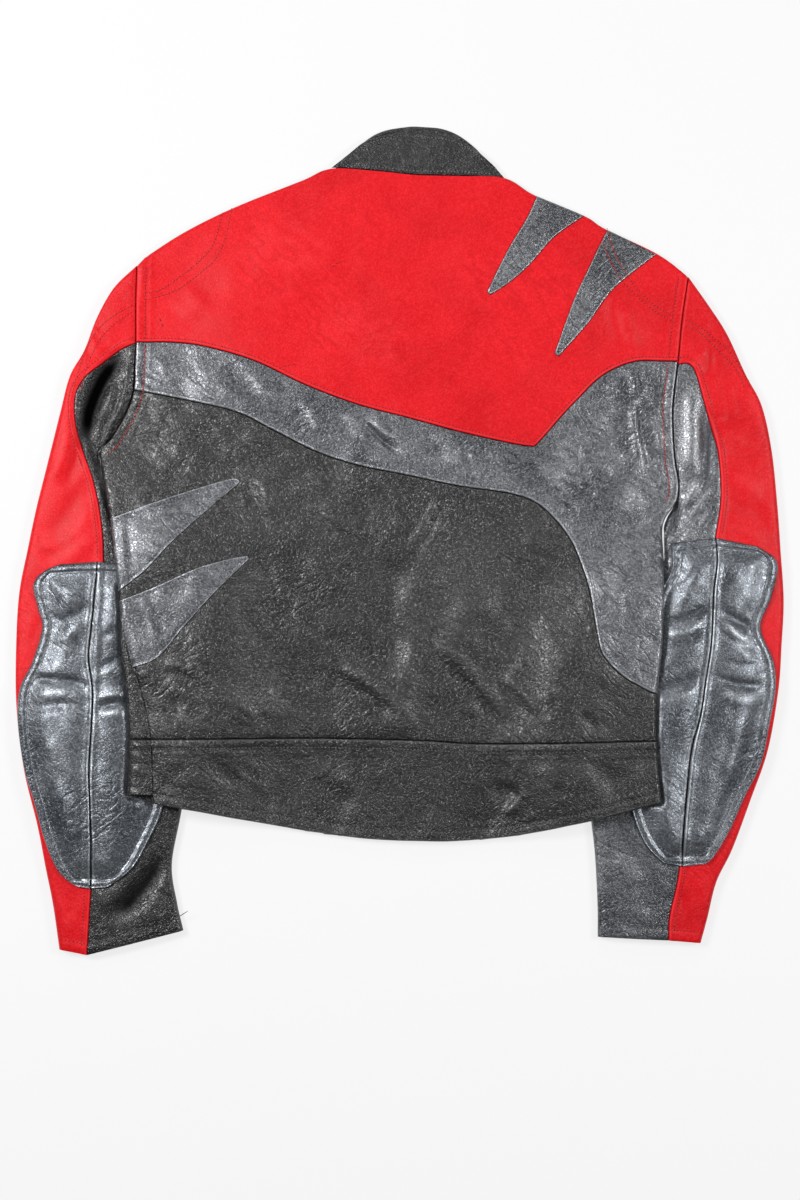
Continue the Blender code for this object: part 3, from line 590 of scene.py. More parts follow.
class Surface:
    """The upper faces of some pieces, on which thread and trim are laid."""

    def __init__(self, grids: Sequence[Array]) -> None:
        """Gather the cells of grids of points, in millimetres."""
        points, faces, start = [], [], 0
        for grid in grids:
            rows, columns = grid.shape[:2]
            index = np.arange(rows * columns).reshape(rows, columns) + start
            cells = (index[:-1, :-1], index[:-1, 1:], index[1:, 1:], index[1:, :-1])
            faces.append(np.stack(cells, axis=-1).reshape(-1, 4))
            points.append(grid.reshape(-1, 3))
            start += rows * columns
        self.tree = BVHTree.FromPolygons(np.vstack(points).tolist(), np.vstack(faces).tolist())

    def height(self, x: Array, y: Array) -> Array:
        """The height under each place; off the pieces it is between those of its neighbours."""
        down = Vector((0.0, 0.0, -1.0))
        hits = [self.tree.ray_cast(Vector((*place, ABOVE)), down)[0]
                for place in zip(np.ravel(x), np.ravel(y))]
        flat = np.array([np.nan if hit is None else hit.z for hit in hits])
        missing = np.isnan(flat)
        if missing.any() and not missing.all():
            order = np.arange(len(flat))
            flat[missing] = np.interp(order[missing], order[~missing], flat[~missing])
        return flat.reshape(np.shape(x))


class Nodes:
    """A short way to write a material's nodes."""

    def __init__(self, name: str) -> None:
        """Start a material with its shader and its object coordinates."""
        self.material = bpy.data.materials.new(name)
        self.material.use_nodes = True
        self.tree = self.material.node_tree
        self.shader = self.tree.nodes["Principled BSDF"]
        self.place = self.tree.nodes.new("ShaderNodeTexCoord").outputs["Object"]

    def add(self, kind: str, inputs: dict[str | int, object] | None = None,
            **settings: object) -> bpy.types.ShaderNode:
        """Add a node with its own settings, and feed its inputs."""
        node = self.tree.nodes.new("ShaderNode" + kind)
        for key, value in settings.items():
            setattr(node, key, value)
        for key, value in (inputs or {}).items():
            self.feed(node.inputs[key], value)
        return node

    def feed(self, socket: Socket, value: object) -> None:
        """Link a value that is a socket, and set any other."""
        if isinstance(value, Socket):
            self.tree.links.new(value, socket)
        else:
            socket.default_value = value

    def math(self, operation: str, *values: object) -> Socket:
        """Add one step of arithmetic and return its result."""
        return self.add("Math", dict(enumerate(values)), operation=operation).outputs[0]

    def noise(self, scale: float, detail: float = 2.0, distortion: float = 0.0,
              place: Socket | None = None) -> Socket:
        """Noise from 0 to 1 with the given number of waves to a metre."""
        inputs = {"Vector": place or self.place, "Scale": scale, "Detail": detail,
                  "Distortion": distortion}
        return self.add("TexNoise", inputs).outputs["Fac"]

    def stretched(self, angle: float, stretch: float) -> Socket:
        """The object's coordinates, so that a pattern on them is longer along one direction."""
        inputs = {"Vector": self.place, "Rotation": (0.0, 0.0, angle), "Scale": (stretch, 1.0, 1.0)}
        return self.add("Mapping", inputs, vector_type="TEXTURE").outputs[0]

    def ramp(self, value: Socket, low: float, high: float,
             start: float = 0.0, end: float = 1.0) -> Socket:
        """Bring a value from one range into another, smoothly and clipped."""
        inputs = {"Value": value, "From Min": low, "From Max": high, "To Min": start, "To Max": end}
        return self.add("MapRange", inputs, interpolation_type="SMOOTHSTEP").outputs["Result"]

    def mix(self, share: object, one: object, two: object) -> Socket:
        """Mix two colours."""
        return self.add("Mix", {0: share, 6: one, 7: two}, data_type="RGBA").outputs[2]

    def attribute(self, name: str) -> Socket:
        """A number that the mesh holds for each of its points."""
        return self.add("Attribute", attribute_name=name).outputs["Fac"]

    def mark(self, mark: "Mark", rough: Socket) -> Socket:
        """1 on a scuff or hole and 0 beside it: the distance to its line, made ragged by noise."""
        start = (mark.x0 * MM, mark.y0 * MM, 0.0)
        along = ((mark.x1 - mark.x0) * MM, (mark.y1 - mark.y0) * MM, 0.0)
        flat = self.add("VectorMath", {0: self.place, 1: (1.0, 1.0, 0.0)}, operation="MULTIPLY")
        off = self.add("VectorMath", {0: flat.outputs[0], 1: start}, operation="SUBTRACT").outputs[0]
        reach = self.add("VectorMath", {0: off, 1: along}, operation="DOT_PRODUCT").outputs["Value"]
        size = along[0] ** 2 + along[1] ** 2
        share = self.add("Clamp", {"Value": self.math("DIVIDE", reach, max(size, 1e-12))}).outputs[0]
        near = self.add("VectorMath", {0: along, "Scale": share}, operation="SCALE").outputs[0]
        gap = self.add("VectorMath", {0: off, 1: near}, operation="DISTANCE").outputs["Value"]
        ragged = self.math("MULTIPLY", rough, 1.3 * mark.width * MM)
        return self.ramp(self.math("ADD", gap, ragged), 1.5 * mark.width * MM, 0.7 * mark.width * MM)

    def set(self, **values: object) -> None:
        """Set or link the shader's own inputs; an underscore stands for a space."""
        for key, value in values.items():
            self.feed(self.shader.inputs[key.replace("_", " ")], value)


def colour(red: float, green: float, blue: float) -> tuple[float, float, float, float]:
    """A colour with no transparency."""
    return (red, green, blue, 1.0)


class Mark(NamedTuple):
    """A scuff or a hole: a short line on the leather, and half its width."""

    x0: float
    y0: float
    x1: float
    y1: float
    width: float


@dataclass(frozen=True)
class Leather:
    """Grained leather: pebbles, patches of wrinkles, a mottled colour, and folds with wear and painted
    highlight.

    The grain is smooth noise: where it passes its middle value a crevice runs, so the pebbles
    between are round and uneven. Wider noise, stretched along two directions and cut the same
    way, gives the wrinkles, which come in patches. Colour goes from deep, in crevices, over base,
    to the wear colour on pebbles. Painted shade darkens wrinkles and troughs; folds are lighter by
    wear and painted highlight, and the upper edges of seams have a painted highlight. Beside a
    seam it is darker than deep. Deep in a hollow painted shade makes it darker still, and a
    hollow hardly shines, as its metallic setting reflects only its dark colour.
    """

    name: str
    slot: str
    base: tuple[float, float, float]
    deep: tuple[float, float, float]
    worn: tuple[float, float, float]
    roughness: float
    metallic: float = 0.0
    specular: float = 0.5
    grain: float = 520.0
    grain_depth: float = 0.12
    wrinkle: float = 130.0
    wrinkle_depth: float = 0.20
    mottle: float = 0.5
    angle: float = -0.7
    seam: float = 0.45
    # rim is the strength of the painted highlight on the upper edges of seams; the fold share gives
    # wear and painted highlight, and the three shade shares give painted shade.
    rim: float = 0.6
    worn_fold: float = 0.5
    worn_pebble: float = 0.3
    deep_crevice: float = 0.4
    deep_wrinkle: float = 0.35
    deep_trough: float = 0.5
    dark_hollow: float = 0.85
    marks: tuple[Mark, ...] = ()

    def crevices(self, n: Nodes, width: float, *noise: object) -> Socket:
        """A network of lines where a noise passes its middle value: 0 on them and 1 between."""
        off = n.math("ABSOLUTE", n.math("SUBTRACT", n.noise(*noise), 0.5))
        return n.ramp(off, 0.0, width)

    def creased(self, n: Nodes, angle: float, patches: Socket) -> Socket:
        """1 in the wrinkles that run along one direction, in its patches, and 0 elsewhere."""
        lines = self.crevices(n, 0.09, self.wrinkle, 2.0, 0.5, n.stretched(angle, 2.4))
        return n.math("MULTIPLY", n.math("SUBTRACT", 1.0, lines), patches)

    def build(self) -> bpy.types.Material:
        """Build the finish's nodes.

        Returns:
            The material.
        """
        n = Nodes(self.name)
        pebble = self.crevices(n, 0.16, self.grain, 1.0, 0.7)
        cloud = n.noise(13.0, 4.0, 0.5)
        first = self.creased(n, self.angle, n.ramp(cloud, 0.47, 0.64))
        second = self.creased(n, self.angle + 1.3, n.ramp(cloud, 0.50, 0.34))
        wrinkle = n.math("ADD", first, second)
        height = n.math("SUBTRACT", n.math("MULTIPLY", pebble, self.grain_depth),
                        n.math("MULTIPLY", wrinkle, self.wrinkle_depth))
        bump = n.add("Bump", {"Strength": 1.0, "Distance": MM, "Height": height})
        lap, fold = n.attribute("lap"), n.attribute("fold")
        # A painted highlight along the upper edge of a seam's top piece, read from the lap attribute.
        rim = n.math("MULTIPLY", n.ramp(lap, 0.4, 1.4), n.ramp(lap, 3.2, 1.8))
        # Deep hollows, which get painted shade in their colour and, through the metallic setting, in
        # their reflection.
        hollow = n.ramp(fold, -1.2, -8.0)
        crevice = n.math("MULTIPLY", n.math("SUBTRACT", 1.0, pebble), self.deep_crevice)
        # The grain's crevices, and painted shade in the wrinkles.
        low = n.math("ADD", crevice, n.math("MULTIPLY", wrinkle, self.deep_wrinkle))
        worn, deep = colour(*self.worn), colour(*self.deep)
        # The seam colour darkens the joints of seams and is also the painted shade of hollows.
        seam = colour(*(self.seam * part for part in self.deep))
        tone = colour(*self.base)
        # Mottling; wear and painted highlight on folds; wear on pebbles; crevices and painted wrinkle
        # shade; painted shade in troughs; painted highlight on seam rims; painted shade in hollows.
        for place, share, tint in (
                (n.ramp(cloud, 0.62, 0.36), self.mottle, deep),
                (n.ramp(fold, 0.1, 1.5), self.worn_fold, worn), (pebble, self.worn_pebble, worn),
                (low, 1.0, deep), (n.ramp(fold, -0.2, -2.2), self.deep_trough, deep),
                (rim, self.rim, worn), (hollow, self.dark_hollow, seam)):
            tone = n.mix(n.math("MULTIPLY", place, share), tone, tint)
        tone = n.mix(n.ramp(n.attribute("edge"), 0.0, 1.1), seam, tone)
        if self.marks:
            rough = n.noise(900.0, 1.0)
            for mark in self.marks:
                tone = n.mix(n.mark(mark, rough), tone, colour(0.02, 0.012, 0.012))
        gloss = n.math("ADD", n.math("MULTIPLY", cloud, 0.2), self.roughness - 0.1)
        gloss = n.math("ADD", gloss, n.math("MULTIPLY", hollow, 0.4))
        # Metallic rises to 1 in hollows so that their dark colour darkens their reflection too: painted
        # shade.
        n.set(Base_Color=tone, Roughness=gloss, Metallic=n.math("MAXIMUM", hollow, self.metallic),
              Specular_IOR_Level=self.specular, Normal=bump.outputs["Normal"])
        return n.material


@dataclass(frozen=True)
class Plain:
    """A simple finish with a little uneven colour and gloss: thread, tape, teeth or metal."""

    name: str
    slot: str
    base: tuple[float, float, float]
    roughness: float
    metallic: float = 0.0
    weave: float = 1400.0
    depth: float = 0.04

    def build(self) -> bpy.types.Material:
        """Build the finish's nodes.

        Returns:
            The material.
        """
        n = Nodes(self.name)
        grain = n.noise(self.weave, 2.0)
        dark = colour(*(0.6 * part for part in self.base))
        bump = n.add("Bump", {"Strength": 1.0, "Distance": MM, "Height": n.math(
            "MULTIPLY", grain, self.depth)})
        n.set(Base_Color=n.mix(n.ramp(grain, 0.3, 0.7), colour(*self.base), dark),
              Roughness=n.math("ADD", n.math("MULTIPLY", grain, 0.15), self.roughness),
              Metallic=self.metallic, Normal=bump.outputs["Normal"])
        return n.material


RED_MARKS = rows(
    Mark, (-64.3, 258.6, -61.5, 260, 0.7), (-60.4, 261.6, -58, 262.6, 0.6),
    (-56.8, 263, -55, 263.5, 0.6), (-110, 164.6, -107.5, 164.9, 0.7), (-106, 165.4, -103.5, 165.8, 0.6),
    (-101.5, 166, -99.6, 166.5, 0.6), (-228.2, 210, -227.2, 208, 0.9), (-226, 205, -225, 202.4, 0.9),
    (-230, 206.4, -229, 205.4, 0.6),
)
GREY_MARKS = rows(
    Mark, (267, 108.3, 267.6, 108.3, 0.8), (267.9, 86.5, 268.9, 86, 1), (270.8, 64.6, 271.2, 64.4, 0.7),
)


class Finish(Enum):
    """Every finish on the jacket."""

    RED = Leather("red leather", "leather_red", (0.72, 0.005, 0.011), (0.50, 0.002, 0.006),
                  (0.82, 0.030, 0.038), 0.46, specular=0.18, grain=420.0, grain_depth=0.07,
                  wrinkle=80.0, wrinkle_depth=0.13, mottle=0.5, seam=0.8, marks=RED_MARKS)
    GREY = Leather("grey leather", "leather_grey", (0.180, 0.185, 0.198), (0.048, 0.050, 0.058),
                   (0.42, 0.43, 0.445), 0.38, metallic=0.75, grain=380.0, grain_depth=0.17,
                   wrinkle=85.0, wrinkle_depth=0.34, mottle=0.85, marks=GREY_MARKS)
    BLACK = Leather("black leather", "leather_black", (0.0095, 0.0094, 0.0099),
                    (0.0018, 0.0018, 0.0020), (0.045, 0.045, 0.047), 0.36, specular=0.80,
                    grain=330.0, grain_depth=0.30, wrinkle=80.0, wrinkle_depth=0.36, mottle=0.8)
    COLLAR = Leather("collar leather", "leather_collar", (0.008, 0.0075, 0.0078),
                     (0.002, 0.002, 0.0024), (0.045, 0.043, 0.045), 0.42, specular=0.65, grain=330.0,
                     grain_depth=0.28, wrinkle=90.0, wrinkle_depth=0.3, mottle=0.6)
    PATCH = Leather("patch leather", "leather_grey", (0.195, 0.208, 0.230), (0.050, 0.056, 0.066),
                    (0.42, 0.45, 0.48), 0.37, metallic=0.75, grain=400.0, grain_depth=0.10,
                    wrinkle=85.0, wrinkle_depth=0.24, mottle=0.8)
    RED_THREAD = Plain("red thread", "leather_red", (0.62, 0.014, 0.020), 0.55)
    BRIGHT_THREAD = Plain("bright red thread", "leather_red", (0.62, 0.020, 0.018), 0.55)
    GREY_THREAD = Plain("grey thread", "leather_grey", (0.19, 0.215, 0.245), 0.5)
    BLACK_THREAD = Plain("black thread", "leather_black", (0.13, 0.13, 0.133), 0.45)
    # Painted shade: the dark inside of the needle holes, given as a colour.
    HOLES = Plain("needle holes", "leather_black", (0.008, 0.004, 0.004), 0.9)
    TAPE = Plain("zip tape", "zip", (0.016, 0.016, 0.017), 0.85, weave=2400.0, depth=0.12)
    TEETH = Plain("zip teeth", "zip", (0.03, 0.03, 0.03), 0.35)
    METAL = Plain("zip slider", "zip", (0.45, 0.45, 0.46), 0.3, metallic=1.0, weave=500.0)

    def material(self) -> bpy.types.Material:
        """The finish's material, made once."""
        return bpy.data.materials.get(self.value.name) or self.value.build()


def dress(piece: Piece, finish: Finish, *nodes: str) -> Piece:
    """Give a piece its finish, put it on the jacket, and let it stand for its solids.

    Args:
        piece: the piece.
        finish: its finish.
        nodes: the solids that it replaces.

    Returns:
        The same piece.
    """
    piece.data.materials.append(finish.material())
    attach(piece, "root")
    if nodes:
        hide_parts(*nodes)
    return piece


def lay(piece: Piece, outside: Array,
        kept: Array | None = None) -> None:
    """Log the size that a panel's own outside measures: its width, length and area. A panel
    that fills little of its width and length, such as a curved band, is stated by its width
    and the length of a straight strip of the same area.

    Args:
        piece: the panel.
        outside: its outside, rows by columns by 3, in millimetres.
        kept: which cells of the outside are there.
    """
    width, length, area = flat_size(outside, kept)
    log.info("%s: cut %.0f x %.0f mm, %.4f m2", piece.name, width / MM, length / MM, area)
    if area < 0.32 * width * length:
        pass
    else:
        min(area, width * length)


SIDE_SEAM_TOP = -50.0     # below it the side seam shows on the back
FRONT_HEM_UP = 1.5        # how much the fronts' hem is hidden by the back's


def lap_edge(y: Array) -> Array:
    """The edge of the left front where it comes round on top; higher up it ends in the fold."""
    width = np.maximum(side_seam(y) - left_edge(y), 0.6)
    return left_edge(y) + width * ease((LEFT_UNDERARM + 2.0 - y) / 3.0)


def back_left(y: Array) -> Array:
    """The left edge of the back's panels: the armhole, and below it the side seam."""
    return lap_edge(y) + SEAM * ease((LEFT_UNDERARM + 2.0 - y) / 3.0)


def strip(distance: Array, width: float, height: float) -> Array:
    """The flat ridge of seam leather between a seam and the stitches beside it."""
    return height * ease(distance / 1.4) * (1.0 - ease((distance - width + 0.8) / 1.8))


def wall_inside(outside: Array, normals: Array) -> Array:
    """The inside of a wall that lies on the floor: the outside, WALL further in."""
    inside = outside - WALL * normals
    inside[..., 2] = np.maximum(inside[..., 2], LOWEST)
    return inside


@dataclass
class Body:
    """The body of the jacket: back and front panels, sewn at the sides and shoulders."""

    puff: float = 3.8
    groove: float = 0.55
    columns: int = 190
    stitch_off: float = 9.0
    crease: float = 1.7
    inner_leather: float = 0.6
    grids: list[Array] = field(default_factory=list)

    def inward(self, x: Array, y: Array) -> tuple[Array, Array]:
        """How far in from the left and the right edge each place is, square to the edge."""
        return ((x - left_edge(y)) / np.hypot(1.0, left_edge.slope(y)),
                (right_edge(y) - x) / np.hypot(1.0, right_edge.slope(y)))

    def fade(self, x: Array, y: Array, reach: float) -> Array:
        """0 at the left and the right edge, and 1 a given reach in from them."""
        return ease((x - left_edge(y)) / reach) * ease((right_edge(y) - x) / reach)

    def lift(self, x: Array, y: Array) -> Array:
        """How far the underside is off the floor, where the body lies over a sleeve."""
        total = 0.0 * x
        for lifts, side in ((LEFT_LIFT, -1.0), (RIGHT_LIFT, 1.0)):
            table = np.array(lifts)[::-1]
            height = np.interp(y, table[:, 0], table[:, 1])
            reach = np.interp(y, table[:, 0], table[:, 2])
            total = total + height * (1.0 - ease(side * (reach - x) / SLOPE))
        return LIFT_SCALE * total

    def in_neck(self, x: Array) -> Array:
        """1 along the neck seam, 0 along the shoulders."""
        return ease((x - NECK_LEFT + 4.0) / 8.0) * ease((NECK_RIGHT + 4.0 - x) / 8.0)

    def drops(self, x: Array, y: Array) -> Array:
        """How far the rounded outline falls from the flat top: at sides, armholes and shoulders."""
        left, right = self.inward(x, y)
        wide = SIDE_ROLL - ARMHOLE_ROLL
        drop = roll_drop(left, ARMHOLE_ROLL + wide * ease((LEFT_UNDERARM + 4.0 - y) / 12.0))
        at_right = roll_drop(right, ARMHOLE_ROLL + wide * ease((RIGHT_UNDERARM + 4.0 - y) / 12.0))
        top = -off_curve(x, y, shoulder_line)
        at_top = roll_drop(top, SIDE_ROLL - (SIDE_ROLL - SEAM_ROLL) * self.in_neck(x))
        return np.maximum(np.maximum(drop, at_right), at_top)

    def soft(self, x: Array, y: Array) -> Array:
        """The top without its seams: lift, thickness, puff, creases and slow waves.

        It is eased down to CREST by -log(exp(-top) + exp(-CREST)), and rounded at its outline.
        """
        ends = ease((shoulder_line(x) - y) / 90.0) * ease((y - hem_line(x)) / 110.0)
        free = self.fade(x, y, 9.0) * ease((shoulder_line(x) - y) / 9.0)
        waves = 2.6 * noise(x, y, 70.0, 1) + 1.4 * noise(x, y, 34.0, 2) + 0.85 * noise(x, y, 16.0, 3)
        lower = ease((yoke_seam(x) + 12.0 - y) / 24.0)
        waves = waves * (0.5 + 0.5 * lower) + self.crinkle(x, y) * lower
        shape = self.puff * self.fade(x, y, 120.0) * ends
        shape = shape + free * (waves + self.crease * crease_height(x, y, BACK_CREASES))
        top = self.lift(x, y) + 2.0 * SIDE_ROLL + shape
        return -np.logaddexp(-top, -CREST) - self.drops(x, y)

    def crinkle(self, x: Array, y: Array) -> Array:
        """Short uneven wrinkles: ridged noise, stretched along the slant of the wrinkles."""
        along, across = 0.8 * x - 0.6 * y, 0.6 * x + 0.8 * y
        ridged = 1.0 - np.abs(noise(along * 0.45, across, 8.5, 4)) * 2.0
        patch = ease((noise(x, y, 46.0, 5) + 0.1) / 0.7)
        return 0.75 * ridged * patch

    def seam_distance(self, x: Array, y: Array) -> Array:
        """How far each place is from the nearest seam of the back."""
        across = [np.abs(off_curve(x, y, curve)) for curve in (yoke_seam, band_edge, waist_seam)]
        neck = np.abs(off_curve(x, y, shoulder_line)) + AWAY * (1.0 - self.in_neck(x))
        side = np.abs(x - lap_edge(y)) + AWAY * (y > SIDE_SEAM_TOP)
        return np.min([*across, neck, *self.armholes(x, y), side], axis=0)

    def armholes(self, x: Array, y: Array) -> tuple[Array, Array]:
        """How far each place is from the armholes, AWAY more below them."""
        return (x - left_edge(y) + AWAY * (y < LEFT_UNDERARM),
                right_edge(y) - x + AWAY * (y < RIGHT_UNDERARM))

    def seams(self, x: Array, y: Array) -> Array:
        """Grooves where panels meet, strips of seam leather beside them, and puckers."""
        total = 0.0 * x
        for seed, curve in enumerate((yoke_seam, band_edge, waist_seam)):
            d = off_curve(x, y, curve)
            total -= roll_drop(np.abs(d) - SEAM / 2.0, SEAM_ROLL)
            total -= self.groove * bell(d, 3.2)
            total += puckers(x + 0.4 * y, d, 0.22, 20 + seed)
        total += self.welt(-off_curve(x, y, waist_seam), 1.3)
        for curve in (yoke_seam, band_edge):
            total += strip(off_curve(x, y, curve), 4.2, 0.45)
        total += self.welt(off_curve(x, y, hem_line), 1.0)
        total -= roll_drop(off_curve(x, y, hem_line), 1.2)
        arm_left, arm_right = self.inward(x, y)
        sewn = ((arm_left, ease((y - LEFT_UNDERARM) / 8.0), 30),
                (arm_right, ease((y - RIGHT_UNDERARM) / 8.0), 32))
        for d, share, seed in sewn:
            total += share * (self.welt(d, 1.0) + puckers(y, d, 0.3, seed))
            total -= share * self.groove * bell(d, 3.2)
        side, low = x - lap_edge(y) - SEAM / 2.0, ease((SIDE_SEAM_TOP - y) / 20.0)
        total -= low * roll_drop(np.abs(side) - SEAM / 2.0, SEAM_ROLL)
        total -= low * (0.9 * bell(side, 2.6) - puckers(y, side, 0.3, 34))
        neck = -off_curve(x, y, shoulder_line)
        total += self.in_neck(x) * (puckers(x, neck, 0.25, 36) - 0.5 * bell(neck, 3.0))
        return total

    def welt(self, distance: Array, height: float) -> Array:
        """A strip beside a seam, the dip that its stitches pull in, and a soft ridge beyond it."""
        dip = bell(distance - self.stitch_off, 1.3)
        ridge = bell(distance - self.stitch_off - 4.2, 2.4)
        return strip(distance, self.stitch_off, height) - 0.55 * dip + 0.6 * ridge

    def top(self, x: Array, y: Array) -> Array:
        """The height of the back's outside."""
        return self.soft(x, y) + self.seams(x, y)

    def under(self, x: Array, y: Array) -> Array:
        """The height of the fronts' outside, which lies on the floor."""
        return self.lift(x, y) + self.drops(x, y)

    def numbers(self, x: Array, y: Array) -> dict[str, Array]:
        """What the finish reads: how far a seam is, how far an upper edge is (for a painted highlight),
        and how high folds are.
        """
        # The distance above the upper edge of each lapped seam, where the finish paints a highlight.
        laps = [off_curve(x, y, yoke_seam), off_curve(x, y, band_edge), -off_curve(x, y, waist_seam),
                off_curve(x, y, hem_line), *self.armholes(x, y)]
        lap = np.min([np.where(far > 0.0, far, FAR) for far in laps], axis=0)
        return {"edge": capped(self.seam_distance(x, y)), "lap": capped(lap),
                "fold": crease_height(x, y, BACK_CREASES) + 0.8 * self.crinkle(x, y)}

    def back_panel(self, name: str, finish: Finish, low: Curve, high: Curve, rows: int,
                   **edges: object) -> None:
        """Make one panel of the back.

        Args:
            name: the node that it stands for, and with _leather the piece's name.
            finish: its finish.
            low, high: the lines that it ends on.
            rows: how many even rows of cells it has.
            edges: what its grid has at its ends, if not a seam.
        """
        panel = Panel(back_left, right_edge, low, high, self.columns, rows, **edges)
        x, y = panel.grid()
        outside = stack(x, y, self.top(x, y))
        smooth = stack(x, y, self.soft(x, y))
        normals = grid_normals(smooth)
        normals *= np.sign(normals[..., 2:].mean())
        inside = smooth - (WALL + self.inner_leather) * normals
        piece = shell(name + "_leather", outside, inside, data=self.numbers(x, y))
        self.grids.append(outside)
        lay(dress(piece, finish, name), outside)

    def front_panel(self, name: str, left: bool, low: Curve, high: Curve, rows: int,
                    **edges: object) -> None:
        """Make one panel of the fronts, the left ones round the side and onto the back.

        Args:
            name: the node that it stands for.
            left: whether it is on the wearer's left.
            low, high: the lines that it ends on.
            rows: how many even rows of cells it has.
            edges: what its grid has at its ends, if not a seam.
        """
        off = Zip.half_width + SEAM
        if left:
            ends = (left_edge, lambda y: middle(y) - off)
        else:
            ends = (lambda y: middle(y) + off, right_edge)
        edges["near_right" if left else "near_left"] = SEAM_STEPS
        x, y = Panel(*ends, low, high, self.columns // 2 - 5, rows, **edges).grid()
        by_zip = np.abs(x - middle(y)) - off
        seam = roll_drop(np.abs(off_curve(x, y, waist_seam)) - SEAM / 2.0, SEAM_ROLL)
        floor = self.under(x, y) + np.maximum(roll_drop(by_zip, SEAM_ROLL), seam)
        outside = stack(x, y, floor)
        numbers = {"edge": capped(by_zip), "fold": 0.0 * x}
        kept = None
        if left:
            outside, numbers, kept = self.wrapped(outside, numbers)
        normals = grid_normals(outside)
        normals *= -np.sign(normals[:, -20:, 2].mean())
        piece = shell(name + "_leather", outside, wall_inside(outside, normals), kept, numbers)
        lay(dress(piece, Finish.BLACK, name), outside,
            kept)

    def wrapped(self, outside: Array,
                numbers: dict[str, Array]) -> tuple[Array, dict[str, Array], Array]:
        """Carry the left front round the fold at its left and onto the back, as far as its seam.

        Args:
            outside: the part of the front that lies below.
            numbers: what the finish reads there.

        Returns:
            The whole outside, its numbers, and which of its cells are there.
        """
        y = outside[:, :1, 1]
        shares = np.linspace(1.0, 0.0, 9)[:-1] ** 1.6
        x = left_edge(y) + (lap_edge(y) - left_edge(y)) * shares
        y = np.broadcast_to(y, x.shape)
        above = stack(x, y, self.top(x, y))
        self.grids.append(above[y[:, 0] < LEFT_UNDERARM])
        extra = self.numbers(x, y)
        numbers = {label: np.hstack([extra[label], numbers[label]]) for label in numbers}
        whole = np.concatenate([above, outside], axis=1)
        kept = np.ones((whole.shape[0] - 1, whole.shape[1] - 1), bool)
        kept[y[1:, 0] > LEFT_UNDERARM, :len(shares)] = False
        return whole, numbers, kept

    def build(self) -> None:
        """Build the back's four panels and the fronts' four."""
        top_edge = {"near_high": SIDE_STEPS}
        hem_edge = {"near_low": round_steps(1.2, (1.0, 2.4)), "gap_low": 0.0}
        self.back_panel("back_yoke", Finish.RED, yoke_seam, shoulder_line, 78, **top_edge)
        self.back_panel("back_band", Finish.GREY, band_edge, yoke_seam, 96)
        self.back_panel("back_lower", Finish.BLACK, waist_seam, band_edge, 100)
        self.back_panel("back_waistband", Finish.BLACK, hem_line, waist_seam, 28, **hem_edge)
        for side, left in (("left", True), ("right", False)):
            self.front_panel(f"front_{side}", left, waist_seam, front_top, 110, **top_edge)
            self.front_panel(f"front_waistband_{side}", left, front_hem, waist_seam, 18, **hem_edge)


front_hem = Curve([(point.x, point.y + FRONT_HEM_UP) for point in HEM])


